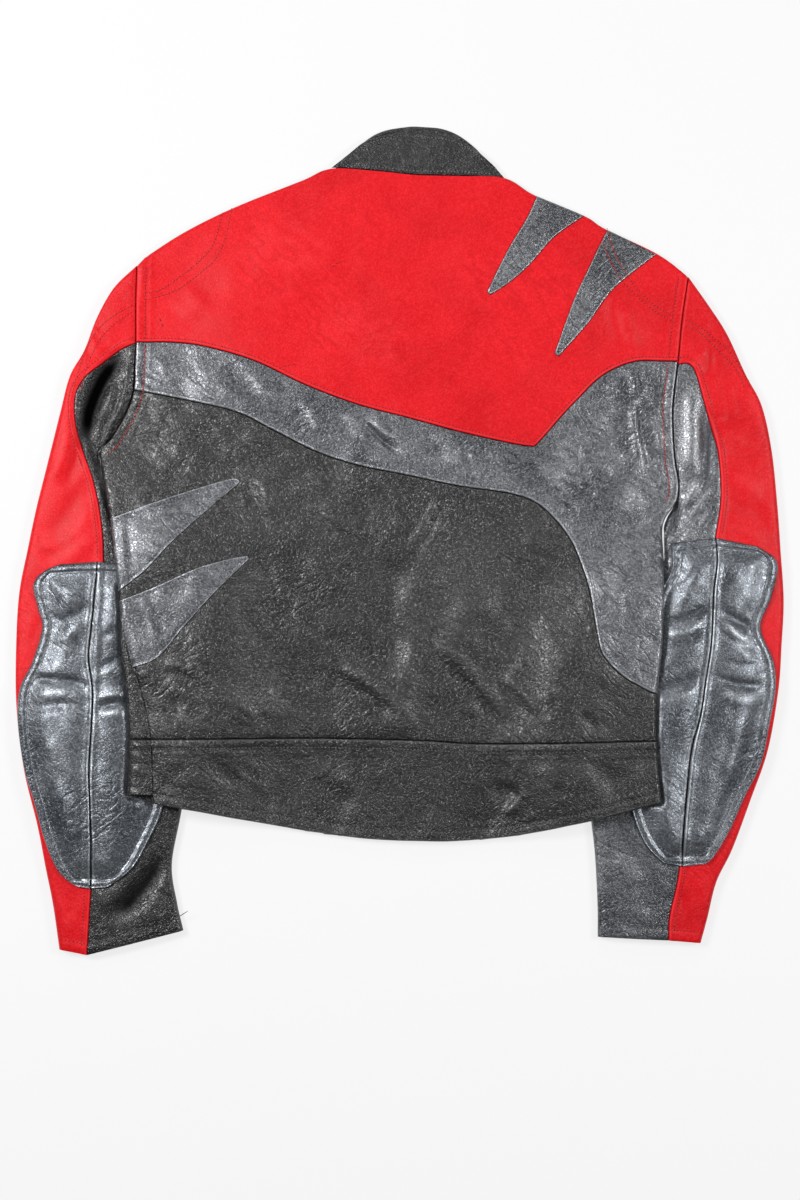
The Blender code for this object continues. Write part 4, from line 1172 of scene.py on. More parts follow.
@dataclass
class Zip:
    """The closed front zip: two tapes, interlocked teeth, and the slider at the top."""

    half_width: float = 14.0
    tape: float = 0.9
    pitch: float = 3.0
    tooth: float = 2.5

    def build(self) -> None:
        """Build the tapes, the teeth and the slider."""
        low, high = float(front_hem(0.0)), float(front_top(19.0)) - SEAM
        y = np.linspace(low, high, 150)[:, None]
        across = np.array([-1.0, -0.99, -0.9, -0.5, -0.2, 0.0, 0.2, 0.5, 0.9, 0.99, 1.0])
        x = middle(y) + self.half_width * across
        y = np.broadcast_to(y, x.shape)
        under = 1.2 + 0.12 * noise(x, y, 12.0, 60)
        outside = stack(x, y, under)
        inside = outside + np.array([0.0, 0.0, self.tape])
        tapes = shell("zip_tapes", outside, inside)
        lay(dress(tapes, Finish.TAPE, "front_zip"), outside)
        dress(self.teeth(low, high), Finish.TEETH)
        dress(self.slider(high - 16.0), Finish.METAL)

    def teeth(self, low: float, high: float) -> Piece:
        """Moulded teeth: one chamfered block every half pitch, from either side in turn.

        Args:
            low, high: where the row starts and ends.

        Returns:
            The joined teeth.
        """
        y = np.arange(low + 6.0, high - 8.0, self.pitch / 2.0)
        side = np.where(np.arange(len(y)) % 2 == 0, 1.0, -1.0)
        ring = np.array([(-0.5, -0.5), (0.5, -0.5), (0.5, 0.5), (-0.5, 0.5)])
        layers = ((0.9, 0.15), (1.0, 0.45), (1.0, 1.3))
        block = np.array([(*(corner * scale), z) for scale, z in layers for corner in ring])
        size = np.array([self.tooth * 1.35, self.pitch * 0.42, 1.0])
        centre = stack(middle(y) + side * self.tooth * 0.38, y, 0.0 * y)
        points = centre[:, None] + block * size
        quads = [(r + k, r + (k + 1) % 4, r + 4 + (k + 1) % 4, r + 4 + k)
                 for r in (0, 4) for k in range(4)] + [(3, 2, 1, 0), (8, 9, 10, 11)]
        faces = (np.arange(len(y)) * 12)[:, None, None] + np.array(quads)
        return joined("zip_teeth", points.reshape(-1, 3), faces.reshape(-1, 4))

    def slider(self, y: float) -> Piece:
        """The slider: a low rounded body, narrower towards the bottom, with its pull below it."""
        u = np.linspace(0.0, 2.0 * math.pi, 25)[:-1]
        rings = []
        for radius, z in ((0.0, 0.1), (0.75, 0.1), (0.95, 0.35), (1.0, 0.9), (1.0, 2.2), (0.0, 2.2)):
            wide = np.abs(np.cos(u)) ** 0.7 * np.sign(np.cos(u)) * radius
            tall = np.abs(np.sin(u)) ** 0.8 * np.sign(np.sin(u)) * radius
            ring_x = middle(np.array(y)) + wide * (5.6 + 0.9 * np.sin(u))
            rings.append(stack(ring_x, y + 7.5 * tall, 0.0 * u + z))
        points = np.concatenate(rings)
        index = np.arange(len(points)).reshape(len(rings), -1)
        after = np.roll(index, -1, axis=1)
        faces = stack(index[:-1], after[:-1], after[1:], index[1:])
        return joined("zip_slider", points, faces.reshape(-1, 4), merge=0.01)


def joined(name: str, points: Array, faces: Array, merge: float = 0.0) -> Piece:
    """Make one mesh from whole arrays, its faces pointing out.

    Args:
        name: the piece's name.
        points: in millimetres.
        faces: rows of point numbers.
        merge: points nearer than this are made one, in millimetres; 0 merges none.

    Returns:
        The piece.
    """
    mesh = bpy.data.meshes.new(name)
    mesh.from_pydata(points * MM, [], faces)
    work = bmesh.new()
    work.from_mesh(mesh)
    if merge:
        bmesh.ops.remove_doubles(work, verts=work.verts, dist=merge * MM)
    bmesh.ops.recalc_face_normals(work, faces=work.faces)
    work.to_mesh(mesh)
    work.free()
    return finished(name, mesh, 40.0)


LEFT_SLEEVE = rows(
    Section, (-250.5, 261, -251, 187, -286.5, 81, 1, 0), (-272, 240, -266, 180, -286.3, 78, 0.6, 0.1),
    (-288, 212, -283, 167, -285.8, 75, 0.4, 0.3), (-300, 181, -299, 154, -285.1, 72, 0.3, 0.5),
    (-314, 156, -308, 137, -284.6, 69, 0.12, 0.7), (-323, 122, -308, 112, -284, 65, 0, 0.9),
    (-331, 90, -301, 85, -282.5, 59, 0, 1), (-338, 62, -292, 60, -278, 47, 0, 1.2),
    (-346, 30, -285, 30, -257, 18, 0, 1.4), (-354, -8, -281, -5, -232, -28, 0, 1.7),
    (-362, -49, -281, -53, -216, -71, 0, 1.8), (-365, -95, -283, -100, -205, -112, 0, 1.8),
    (-365, -156, -285, -157, -199.5, -162, 0, 1.8), (-358, -217, -288, -217, -200, -214, 0, 1.8),
    (-345, -271, -290, -272, -209, -264, 0, 1.8), (-337, -312, -292, -315, -217, -309, 0, 1.6),
    (-330, -347, -294, -350, -212, -345, 0, 1.4), (-324, -389, -297, -394, -206, -371, 0, 1),
)
RIGHT_SLEEVE = rows(
    Section, (274.5, 250, 264.5, 167, 252.5, 13, 1, 0), (295, 221, 274.5, 167, 251.5, 6.5, 0.8, 0.1),
    (311.5, 195, 281, 158, 251.3, 0, 0.55, 0.3), (329, 157, 288, 133, 251.3, -6.5, 0.3, 0.5),
    (344, 128, 294.5, 110, 251.3, -13, 0.12, 0.7), (353.5, 85.5, 302, 80, 250.5, -20, 0, 1),
    (359, 33, 304, 38, 242, -35, 0, 1.2), (362, -9.5, 298, -5, 222, -59, 0, 1.5),
    (365, -57, 293.5, -57, 205, -87, 0, 1.7), (363, -100, 289, -103, 194, -121, 0, 1.8),
    (360, -142.5, 283, -147, 186, -163, 0, 1.8), (350, -199.5, 275.5, -204, 180.5, -214, 0, 1.8),
    (333.5, -247, 270, -252, 180.5, -253, 0, 1.8), (316, -294, 266, -299, 185, -294.5, 0, 1.8),
    (301, -325, 262, -328, 187, -327, 0, 1.6), (292.5, -359, 255.5, -357, 188, -353, 0, 1.4),
    (286, -383, 254.5, -380, 188, -377, 0, 1),
)
LEFT_SLEEVE_CREASES = rows(
    Crease, (-256, 188, -301, 76, -13, 8.5, -8.6), (-291, 108, -270, 150, -3, 6, 2.2),
    (-264, 179, -304, 138, -7, 3.5, 1.6), (-306, 136, -279, 38, -4, 3.5, 1.4),
    (-258, 172, -285, 95, 8, 2.8, 2.6), (-274, 133, -285, 84, 3, 2.6, 1.8),
    (-268, 157, -283, 100, 5, 2.2, -1.6), (-302, 106, -321, 44, 3, 7, -2.2),
    (-312, 116, -333, 52, 3, 7, 1.2), (-296, 66, -342, -5, 5, 9, -1.4),
    (-290, 42, -325, -20, 4, 8, 1.5), (-286, 14, -330, -26, 6, 6, 1.1), (-300, 8, -344, -20, 4, 5, -1),
    (-264, 226, -284, 196, 3, 8, 0.6), (-350, -60, -360, -120, 2, 5, 0.7),
    (-342, -70, -352, -100, 2, 3, -0.7), (-221, -291, -282, -364, 7, 9, -6.2),
    (-240, -288, -292, -352, 7, 9, 2.2), (-216, -306, -252, -372, 5, 8, 1.6),
    (-300, -330, -318, -372, 3, 6, 0.8), (-330, -330, -312, -384, 3, 5, 0.7),
    (-222, -286, -213.5, -377, -2, 1.5, -1.8), (-215, -296, -207, -362, -2, 3, 1.3),
    (-232, -330, -214, -352, 3, 4, -1.4), (-262, -340, -236, -378, 4, 5, -1),
    (-316, -312, -302, -352, 2, 4, -0.7), (-206, -300, -214, -330, 2, 4, 1),
)
RIGHT_SLEEVE_CREASES = rows(
    Crease, (294, 186, 290, 150, 2, 4.5, -2), (282, 180, 280, 160, 1, 4, 1.2),
    (306, 148, 312, 108, 3, 2.6, -1), (316, 152, 318, 112, -4, 5, 0.8),
    (300, 112, 326, 108, 3, 3, -0.9), (300, 98, 330, 92, 4, 4, 0.8), (304, 84, 340, 70, 4, 6, -0.9),
    (306, 60, 346, 40, 5, 8, 1.1), (302, 30, 352, 14, 5, 8, -1.1), (300, 12, 350, -4, 5, 6, 0.9),
    (330, 150, 352, 96, -5, 10, 0.9), (276, 156, 276, 62, 2, 8, 3.2), (290, 136, 288, 40, 3, 7, -4),
    (268, 40, 256, -2, -3, 7, -3.4), (286, 66, 264, 30, 4, 3.4, 2.2), (296, 60, 270, 22, 4, 3.2, 1.8),
    (291, 58, 267, 20, 4, 2.4, -1.6), (290, 24, 258, -2, 4, 4, 1.5), (298, 34, 272, 6, 4, 3, -1.2),
    (192, -300, 230, -330, 6, 9, 0.9), (200, -290, 244, -322, 6, 7, -1),
    (192, -350, 250, -362, 5, 6, 0.6), (282, -318, 292, -352, 3, 5, 0.7),
    (262, -330, 272, -368, 2, 4, -0.6), (240, -300, 250, -340, 3, 6, 0.7),
    (214, -330, 238, -372, 3, 7, 0.6),
)


class Hand(Enum):
    """The wearer's left or right; the value is the way out from the body along X."""

    LEFT = -1.0
    RIGHT = 1.0


@dataclass
class Sleeve:
    """A sleeve of two leather pieces, folded flat, from its armhole to its cuff."""

    hand: Hand
    sections: tuple[Section, ...]
    creases: tuple[Crease, ...]
    edge: Curve
    underarm: float
    under_finish: Finish
    body: Body
    loft: float = 2.7
    steps: int = 12
    clear: float = 0.6
    patch: float = 2.6
    least: float = 3.2
    blend: float = 0.6
    cuff_strip: float = 10.5
    grids: list[Array] = field(default_factory=list)

    def inside_body(self, x: Array, y: Array) -> Array:
        """How far inside the body's outline each place is; below zero it is outside."""
        return np.minimum(self.hand.value * (self.edge(y) - x), y - hem_line(x))

    def ceiling(self, x: Array, y: Array) -> Array:
        """How high the sleeve may reach: under the body, and rising fast beside it."""
        gap = self.clear + self.patch * ease((-y - 4.0) / 30.0)
        beside = 1.3 * np.maximum(0.0, -self.inside_body(x, y) - 1.0)
        sewn = 40.0 * ease((y - self.underarm) / 6.0)
        return np.maximum(self.body.lift(x, y) - gap, self.least) + beside + sewn

    def lines(self) -> dict[str, Array]:
        """The sleeve's outer edge, seam and inner edge, its bow and its loft, at fine steps."""
        table = smooth_line(self.sections, self.steps)
        table[:, 6] = np.clip(table[:, 6], 0.0, 1.0)
        return {"outer": table[:, 0:2], "seam": table[:, 2:4], "inner": table[:, 4:6],
                "bow": table[:, 6], "loft": table[:, 7]}

    def plan(self, lines: dict[str, Array], which: str) -> tuple[Array, Array]:
        """Where the points of one half lie in plan, from the seam to one edge.

        Straight across, a point is seam * (1 - share) + edge * share; near the armhole it is
        bowed towards the armhole's own line.

        Args:
            lines: the sleeve's lines.
            which: "outer" or "inner".

        Returns:
            The points, rows by columns by 2, and each point's share.
        """
        seam, edge = lines["seam"], lines[which]
        width = np.linalg.norm(edge - seam, axis=1)[:, None]
        share = across_strip(SEAM_STEPS, SIDE_STEPS, 20 if which == "inner" else 18, width, 0.42)
        flat = between(seam[:, None], edge[:, None], share)
        y = seam[0, 1] + (edge[0, 1] - seam[0, 1]) * share[0]
        arm = stack(self.edge(y) + self.hand.value * SEAM, y)
        arm[:, 0] += (edge[0, 0] - arm[-1, 0]) * ease((share[0] - 0.8) / 0.2)
        return flat + lines["bow"][:, None, None] * (arm - flat[0]), share

    def relief(self, x: Array, y: Array, seam: Array, arm: Array, cuff: Array) -> Array:
        """Seams, stitched strips, puckers and creases of the top.

        Args:
            x, y: the places.
            seam, arm, cuff: how far each is from the sleeve's seam, its armhole and its cuff.

        Returns:
            How much they raise the surface.
        """
        total = crease_height(x, y, self.creases) * ease(arm / 6.0)
        total += 0.5 * noise(x, y, 42.0, 41) + 0.25 * noise(x, y, 17.0, 42)
        total += self.body.crinkle(x + 300.0, y) * 0.8
        total -= roll_drop(arm, ARMHOLE_ROLL) + 0.5 * bell(arm, 3.2)
        total += puckers(y, arm, 0.35, 43)
        total += 0.55 * ease((self.cuff_strip - cuff) / 1.6)
        total -= 0.35 * bell(cuff - self.cuff_strip, 1.2) + roll_drop(cuff, 1.2)
        return total - roll_drop(seam, SEAM_ROLL) - 0.5 * bell(seam, 3.0)

    def upper(self, flat: Array, share: Array, mine: Array, rest: Array,
              side: str) -> tuple[Array, Array]:
        """How high the upper face of one half lies.

        It is twice the roll, the loft and the relief, less what its folded edges have rounded
        down, and is eased down to the ceiling as the body's top is to CREST.

        Args:
            flat, share: the half's points in plan, and their shares from the seam to its edge.
            mine, rest: how wide this half and the other one are at each row.
            side: "outer" or "inner".

        Returns:
            The heights, and how thick the rounded edges are, each rows by columns.
        """
        x, y = flat[..., 0], flat[..., 1]
        near, far = (1.0 - share) * mine, rest + share * mine
        to_inner, to_outer = (far, near) if side == "outer" else (near, far)
        limit = self.ceiling(x, y)
        inner = self.lines()["inner"]
        inner_roll = np.clip(self.ceiling(inner[:, :1], inner[:, 1:]) / 2.0, 1.6, SLEEVE_ROLL)
        part = ease(to_inner / (to_inner + to_outer) / 0.6)
        roll = inner_roll * (1.0 - part) + SLEEVE_ROLL * part
        profile = np.sin(math.pi * np.clip(to_inner / (mine + rest), 0.0, 1.0)) ** 0.8
        drop = np.maximum(roll_drop(to_inner, inner_roll), roll_drop(to_outer, SLEEVE_ROLL))
        soft = 2.0 * roll + self.loft * self.lines()["loft"][:, None] * profile - drop
        arm = np.linalg.norm(flat - flat[:1], axis=-1)
        down = np.linalg.norm(np.diff(flat, axis=0), axis=-1)
        down = np.vstack([down, down[-1:] * 0.0])[::-1].cumsum(axis=0)[::-1]
        bumps = self.relief(x, y, share * mine, arm, down)
        if side == "outer":
            bumps = bumps + strip(share * mine, 5.5, 1.1) * ease(arm / 5.0)
        top = soft + bumps * ease(near / 10.0)
        top = -self.blend * np.logaddexp(-top / self.blend, -limit / self.blend)
        return np.where(near < 0.01, np.minimum(soft, limit), np.maximum(top, roll)), roll

    def half(self, side: str, finish: Finish) -> None:
        """Make one of the two pieces: from the top seam round its edge to the seam below.

        Args:
            side: "outer" or "inner".
            finish: its finish.
        """
        lines = self.lines()
        flat, share = self.plan(lines, side)
        other = {"outer": "inner", "inner": "outer"}[side]
        mine, rest = (np.linalg.norm(lines[edge] - lines["seam"], axis=1)[:, None]
                      for edge in (side, other))
        top, roll = self.upper(flat, share, mine, rest, side)
        x, y, from_seam = flat[..., 0], flat[..., 1], share * mine
        low = roll_drop((1.0 - share) * mine, np.minimum(roll, top[:, -1:]))
        above, below = stack(x, y, top), stack(x, y, np.maximum(low, roll_drop(from_seam, SEAM_ROLL)))
        outside = np.concatenate([above, below[:, -2::-1]], axis=1)
        normals = grid_normals(outside)
        normals *= np.sign(normals[:, :20, 2].mean())
        edge = capped(np.minimum(from_seam, np.linalg.norm(flat - flat[:1], axis=-1)))
        fold = crease_height(x, y, self.creases)
        # On the red piece the distance from the seam places a painted highlight along it; the under
        # piece gets none.
        lap = capped(from_seam) if side == "outer" else 0.0 * edge + FAR
        data = {"edge": np.hstack([edge, edge[:, -2::-1]]), "lap": np.hstack([lap, lap[:, -2::-1]]),
                "fold": np.hstack([fold, 0.0 * fold[:, 1:]])}
        name = f"sleeve_{self.hand.name.lower()}_" + ("outer" if side == "outer" else "under")
        piece = shell(name + "_leather", outside, wall_inside(outside, normals), data=data)
        self.grids.append(above)
        lay(dress(piece, finish, name), outside)

    def build(self) -> None:
        """Build the red outer piece and the under piece."""
        self.half("outer", Finish.RED)
        self.half("inner", self.under_finish)


LEFT_PAD = rows(
    PadRow, (-322, -23, -286.4, -20.5, -256, -23, 0), (-335.5, -28.5, -286.8, -26, -248, -28, 0),
    (-345, -36.5, -287.4, -35, -240, -37, 0), (-348, -46, -288.4, -46, -234, -46, 0),
    (-343.8, -64, -290, -66, -236, -66, 0), (-339.5, -84, -292, -85, -243, -84, 0),
    (-349, -116, -294.5, -112, -238, -114, 1), (-361, -142, -291, -139, -225, -142, 0.7),
    (-363, -176, -291, -166, -220, -180, 0), (-357, -217, -294, -214, -221, -218, 0),
    (-347, -250, -293, -252, -225, -255, 0), (-337, -286, -292, -285, -238, -285, 0),
    (-325, -313, -292.5, -310, -253, -311, 0), (-311, -326, -293, -328, -274, -327, 0),
    (-301, -330, -293, -331, -284, -330, 0),
)
RIGHT_PAD = rows(
    PadRow, (339, -6, 299, 2, 257, -3, 0), (358, -22, 300, -19, 256.5, -28, 0),
    (352, -55, 296.5, -49, 243, -57, 0.7), (342, -83, 295.5, -80, 237, -84, 1),
    (354, -114, 293.5, -104.5, 230, -109, 0.4), (356.5, -141, 289, -134, 220, -142, 1),
    (351, -173, 284, -166, 215.5, -180, 0), (343, -211, 275.5, -199.5, 214.5, -218, 0),
    (327, -244, 271, -241, 219, -255, 0), (311, -279, 268, -277, 231, -287, 0),
    (294, -304, 267, -306, 247, -304, 0), (279, -308, 267, -309.5, 257, -308, 0),
)
LEFT_PAD_CREASES = rows(
    Crease, (-292, -58, -328, -80, 3, 6, -2.2), (-296, -76, -330, -96, 3, 5, 1.2),
    (-352, -132, -290, -142, 5, 4.5, -3.2), (-352, -150, -294, -150, 5, 5, 1.5),
    (-350, -162, -304, -156, 4, 2.6, -1.1), (-352, -170, -310, -162, 4, 2.6, -0.9),
    (-346, -118, -312, -132, -4, 4, 1), (-344, -126, -318, -138, -3, 2.5, -0.8),
    (-288, -152, -254, -146, 3, 3, 1.6), (-290, -160, -248, -156, 3, 3.4, -2.6),
    (-288, -168, -246, -166, 3, 5, 1.4), (-284, -96, -252, -80, 3, 4, -1.1),
    (-286, -124, -256, -112, 3, 3, -0.9), (-288, -130, -254, -124, 3, 4, 0.9),
    (-336, -180, -316, -226, 3, 9, 0.8), (-312, -230, -300, -290, 2, 9, 0.7),
    (-276, -200, -250, -250, 4, 8, -0.9), (-262, -196, -240, -236, 4, 8, 0.8),
    (-330, -212, -306, -252, 3, 4, -0.6), (-322, -40, -312, -66, 3, 6, 0.8),
)
RIGHT_PAD_CREASES = rows(
    Crease, (300, -62, 346, -84, -5, 4.5, -2.6), (300, -74, 344, -96, -5, 5, 1.5),
    (302, -84, 336, -102, -4, 2.6, -0.9), (294, -60, 250, -78, 4, 4.5, -2.4),
    (292, -72, 246, -92, 4, 4.5, 1.5), (290, -82, 250, -104, 4, 3, -1.2),
    (296, -128, 350, -138, -4, 4.5, -2.4), (294, -140, 348, -152, -4, 6, 1.3),
    (286, -126, 236, -140, 4, 4.5, -2.2), (286, -138, 232, -154, 4, 5, 1.3),
    (300, -112, 340, -118, -3, 3, -0.8), (322, -160, 302, -230, 4, 9, 0.8),
    (312, -176, 294, -236, 4, 5, -0.7), (258, -170, 240, -240, 4, 8, -0.9),
    (246, -160, 228, -214, 4, 8, 0.8), (300, -244, 286, -290, 3, 8, 0.7),
    (316, -20, 330, -46, 3, 6, -0.7), (272, -18, 262, -44, 3, 6, 0.8), (284, -20, 258, -50, 3, 3, -0.8),
    (288, -32, 262, -60, 3, 3, 0.7),
)


@dataclass
class ElbowPatch:
    """A padded elbow patch in two halves: a stitched rim, a seam down the middle, soft padding."""

    sleeve: Sleeve
    rows: tuple[PadRow, ...]
    creases: tuple[Crease, ...]
    edge: float = 2.0
    roll: float = 1.3
    crown: float = 6.0
    rim: float = 8.5
    off_sleeve: float = 0.25
    ease_in: float = 22.0
    piping: float = 6.0
    surface: Surface | None = None
    grids: list[Array] = field(default_factory=list)

    def build(self) -> None:
        """Build both halves, resting on the sleeve."""
        self.surface = Surface(self.sleeve.grids)
        table = smooth_line(self.rows, 12)
        outer, centre, inner = table[:, 0:2], table[:, 2:4], table[:, 4:6]
        step = np.gradient(centre, axis=0)
        across = unit(np.stack([-step[:, 1], step[:, 0]], axis=-1))
        across *= np.sign(((outer - inner) * across).sum(axis=1, keepdims=True))
        down = distances(centre)
        for which, border, way in (("outer", outer, 1.0), ("inner", inner, -1.0)):
            self.half(which, border, centre + way * across * SEAM / 2.0, down, table[:, 6])

    def half(self, which: str, border: Array, seam: Array, down: Array, pinch: Array) -> None:
        """Make one half between its border and the middle seam, on the sleeve below it.

        Args:
            which: "outer" or "inner".
            border, seam: its two long edges in plan.
            down: how far down the seam each row is.
            pinch: how much the padding is pressed in at each row.
        """
        width = np.linalg.norm(border - seam, axis=1)[:, None]
        share = across_strip(round_steps(self.roll, (1.2, 3.0, 5.6, 7.6, 9.4), 3),
                             round_steps(SEAM_ROLL, (1.2, 3.4, 6.0, 8.2), 3), 14, width, 0.46)
        flat = between(border[:, None], seam[:, None], share)
        x, y = flat[..., 0], flat[..., 1]
        lengthwise = np.minimum(down, down[-1] - down)[:, None]
        from_side = np.minimum(share * width, lengthwise + 0.0 * share)
        from_seam = (1.0 - share) * width
        z = self.relief(x, y, from_side, from_seam, pinch[:, None])
        if which == "outer":
            z += strip(from_seam, self.piping, 1.2) * self.inner(from_side)
        z -= 0.8 * bell(from_seam, 2.4) * self.inner(from_side)
        base = self.surface.height(x, y) + self.off_sleeve
        ceiling = self.sleeve.body.lift(x, y) - 0.3
        ceiling = ceiling + 60.0 * ease((-self.sleeve.inside_body(x, y) + 1.0) / 26.0)
        top, blend = base + np.maximum(z, 0.5), self.sleeve.blend
        top = np.maximum(-blend * np.logaddexp(-top / blend, -ceiling / blend), base + 0.4)
        outside, inside = stack(x, y, top), stack(x, y, base)
        self.grids.append(outside)
        # edge darkens the middle seam's joint; lap places a painted highlight by the middle seam and on
        # both sides of the rim's stitch line.
        edge = capped(np.minimum(from_seam, np.abs(from_side - self.rim) * 2.0 + 1.2))
        data = {"edge": edge, "lap": edge, "fold": crease_height(x, y, self.creases)}
        name = f"elbow_{self.sleeve.hand.name.lower()}_{which}"
        piece = dress(shell(name + "_padding", outside, inside, data=data), Finish.PATCH, name)

    def inner(self, from_side: Array) -> Array:
        """1 on the padding inside the stitched rim, 0 on the rim."""
        return ease((from_side - self.rim - 1.0) / 6.0)

    def relief(self, x: Array, y: Array, from_side: Array, from_seam: Array, pinch: Array) -> Array:
        """The patch's own height: edge + crown - its round edges + rim - stitch dips + creases.

        Across, it is a round rim, a dip at the rim's stitches, then padding that eases up and
        falls again at the seam; towards the ends it eases down to the rim.

        Args:
            x, y: the places.
            from_side, from_seam: how far they are from the border and from the middle seam.
            pinch: how much the padding is pressed in there.

        Returns:
            The height at each place.
        """
        crown = self.crown * ease((from_side - self.rim) / self.ease_in)
        crown *= (1.0 - 0.4 * ease(1.0 - from_seam / self.ease_in)) * (1.0 - 0.3 * pinch)
        z = self.edge + crown - roll_drop(from_side, self.roll) - roll_drop(from_seam, SEAM_ROLL)
        z += strip(from_side, self.rim, 1.3)
        for row, depth in ((2.6, 0.75), (self.rim, 0.8)):
            z -= depth * bell(from_side - row, 1.1)
        z += puckers(y - x * 0.3, from_side - self.rim, 0.35, 51) * ease(from_side / 3.0)
        z += self.inner(from_side) * crease_height(x, y, self.creases)
        return z + self.inner(from_side) * (0.5 * noise(x, y, 26.0, 52) + 0.35 * noise(x, y, 11.0, 53))


SHOULDER_DARTS = (
    ("dart_shoulder_inner",
     rows(Point, (130, 327), (120, 305), (105, 280), (91, 253), (82.5, 235)),
     rows(Point, (175, 308), (146, 287), (123, 261), (105, 245), (85.5, 232))),
    ("dart_shoulder_outer",
     rows(Point, (197, 295), (189, 279), (179, 258), (165, 228), (146.5, 177)),
     rows(Point, (243, 271), (211, 246), (197, 232), (177, 204), (150, 173.5))),
)
SIDE_DARTS = (
    ("dart_side_upper",
     rows(Point, (-275, 20), (-232, 36), (-192, 49), (-161, 58), (-152.5, 57.5)),
     rows(Point, (-268, -51), (-240, -29), (-214, -1), (-182, 29), (-151.5, 55))),
    ("dart_side_lower",
     rows(Point, (-266, -58), (-230, -44), (-192, -27), (-161, -18), (-143.5, -14.5)),
     rows(Point, (-252, -121), (-228, -111), (-206, -85), (-176, -51), (-142.5, -17.5))),
)


@dataclass
class Darts:
    """The pointed grey inserts on the yoke and on the left side, laid on the panels."""

    body: Body
    thick: float = 1.3
    roll: float = 0.9
    grids: list[Array] = field(default_factory=list)

    def insert(self, name: str, first: Sequence[Point], second: Sequence[Point],
               rests_on: Sequence[str]) -> None:
        """Make one insert between two edges that meet at its point, round at its border.

        Args:
            name: the node that it stands for.
            first, second: its two edges, each from its wide end to its point.
            rests_on: the panels that it is sewn on; not used.
        """
        one, two = smooth_line(first, 14), smooth_line(second, 14)
        width = np.linalg.norm(one - two, axis=1)[:, None]
        steps = round_steps(self.roll, (1.0, 2.6, 4.2), 3)
        share = across_strip(steps, steps, 12, width, 0.4)
        flat = between(one[:, None], two[:, None], share)
        x, y = flat[..., 0], flat[..., 1]
        x = np.maximum(x, left_edge(y) + 0.05)
        near = np.minimum(share, 1.0 - share) * width
        length = np.linalg.norm(np.diff((one + two) / 2.0, axis=0), axis=1)[::-1].cumsum()[::-1]
        near = np.minimum(near, np.append(length, 0.0)[:, None] * 0.8)
        ground = self.body.top(x, y)
        z = ground + self.thick - roll_drop(near, self.roll) + 0.35 * ease((near - 3.6) / 5.0)
        z -= 0.3 * bell(near - 4.0, 0.9)
        z += puckers(x + y, near - 3.0, 0.18, 70) * ease(near / 2.0)
        z += 0.25 * noise(x, y, 13.0, 71) * ease(near / 5.0)
        outside = stack(x, y, z)
        inside = stack(x, y, ground - 0.1)
        # Close to the border the colour darkens as a joint; just inside, lap places a painted
        # highlight.
        edge = capped(near * 1.6)
        data = {"edge": edge, "lap": edge, "fold": self.body.numbers(x, y)["fold"] * 0.7}
        piece = shell(name + "_leather", outside, inside, data=data)
        self.grids.append(outside)
        lay(dress(piece, Finish.GREY, name), outside)

    def build(self) -> None:
        """Build all four inserts."""
        for name, first, second in SHOULDER_DARTS:
            self.insert(name, first, second, ["back_yoke_leather"])
        for name, first, second in SIDE_DARTS:
            self.insert(name, first, second, ["back_lower_leather", "front_left_leather"])


COLLAR_SEAM = rows(
    Point, (-66, 353.3), (-60, 354.2), (-19, 351.2), (15, 347.7), (55, 346.7), (99, 344.7),
)
COLLAR_TOP = rows(
    Point, (-52, 364), (-35, 378), (-19, 384), (1, 387.5), (23, 386.5), (47, 383.5), (63, 377),
    (77, 367), (88, 357),
)
COLLAR_FRONT_SEAM = rows(
    Point, (-62, 354), (-40, 342.2), (-10, 335.2), (19, 333), (48, 334), (78, 338.4), (98, 345.5),
)
COLLAR_FRONT_TOP = rows(
    Point, (-51, 363), (-32, 381), (-16, 389.5), (6, 393.6), (23, 393.6), (39, 392), (55, 386),
    (70, 375), (78, 367), (91, 355),
)


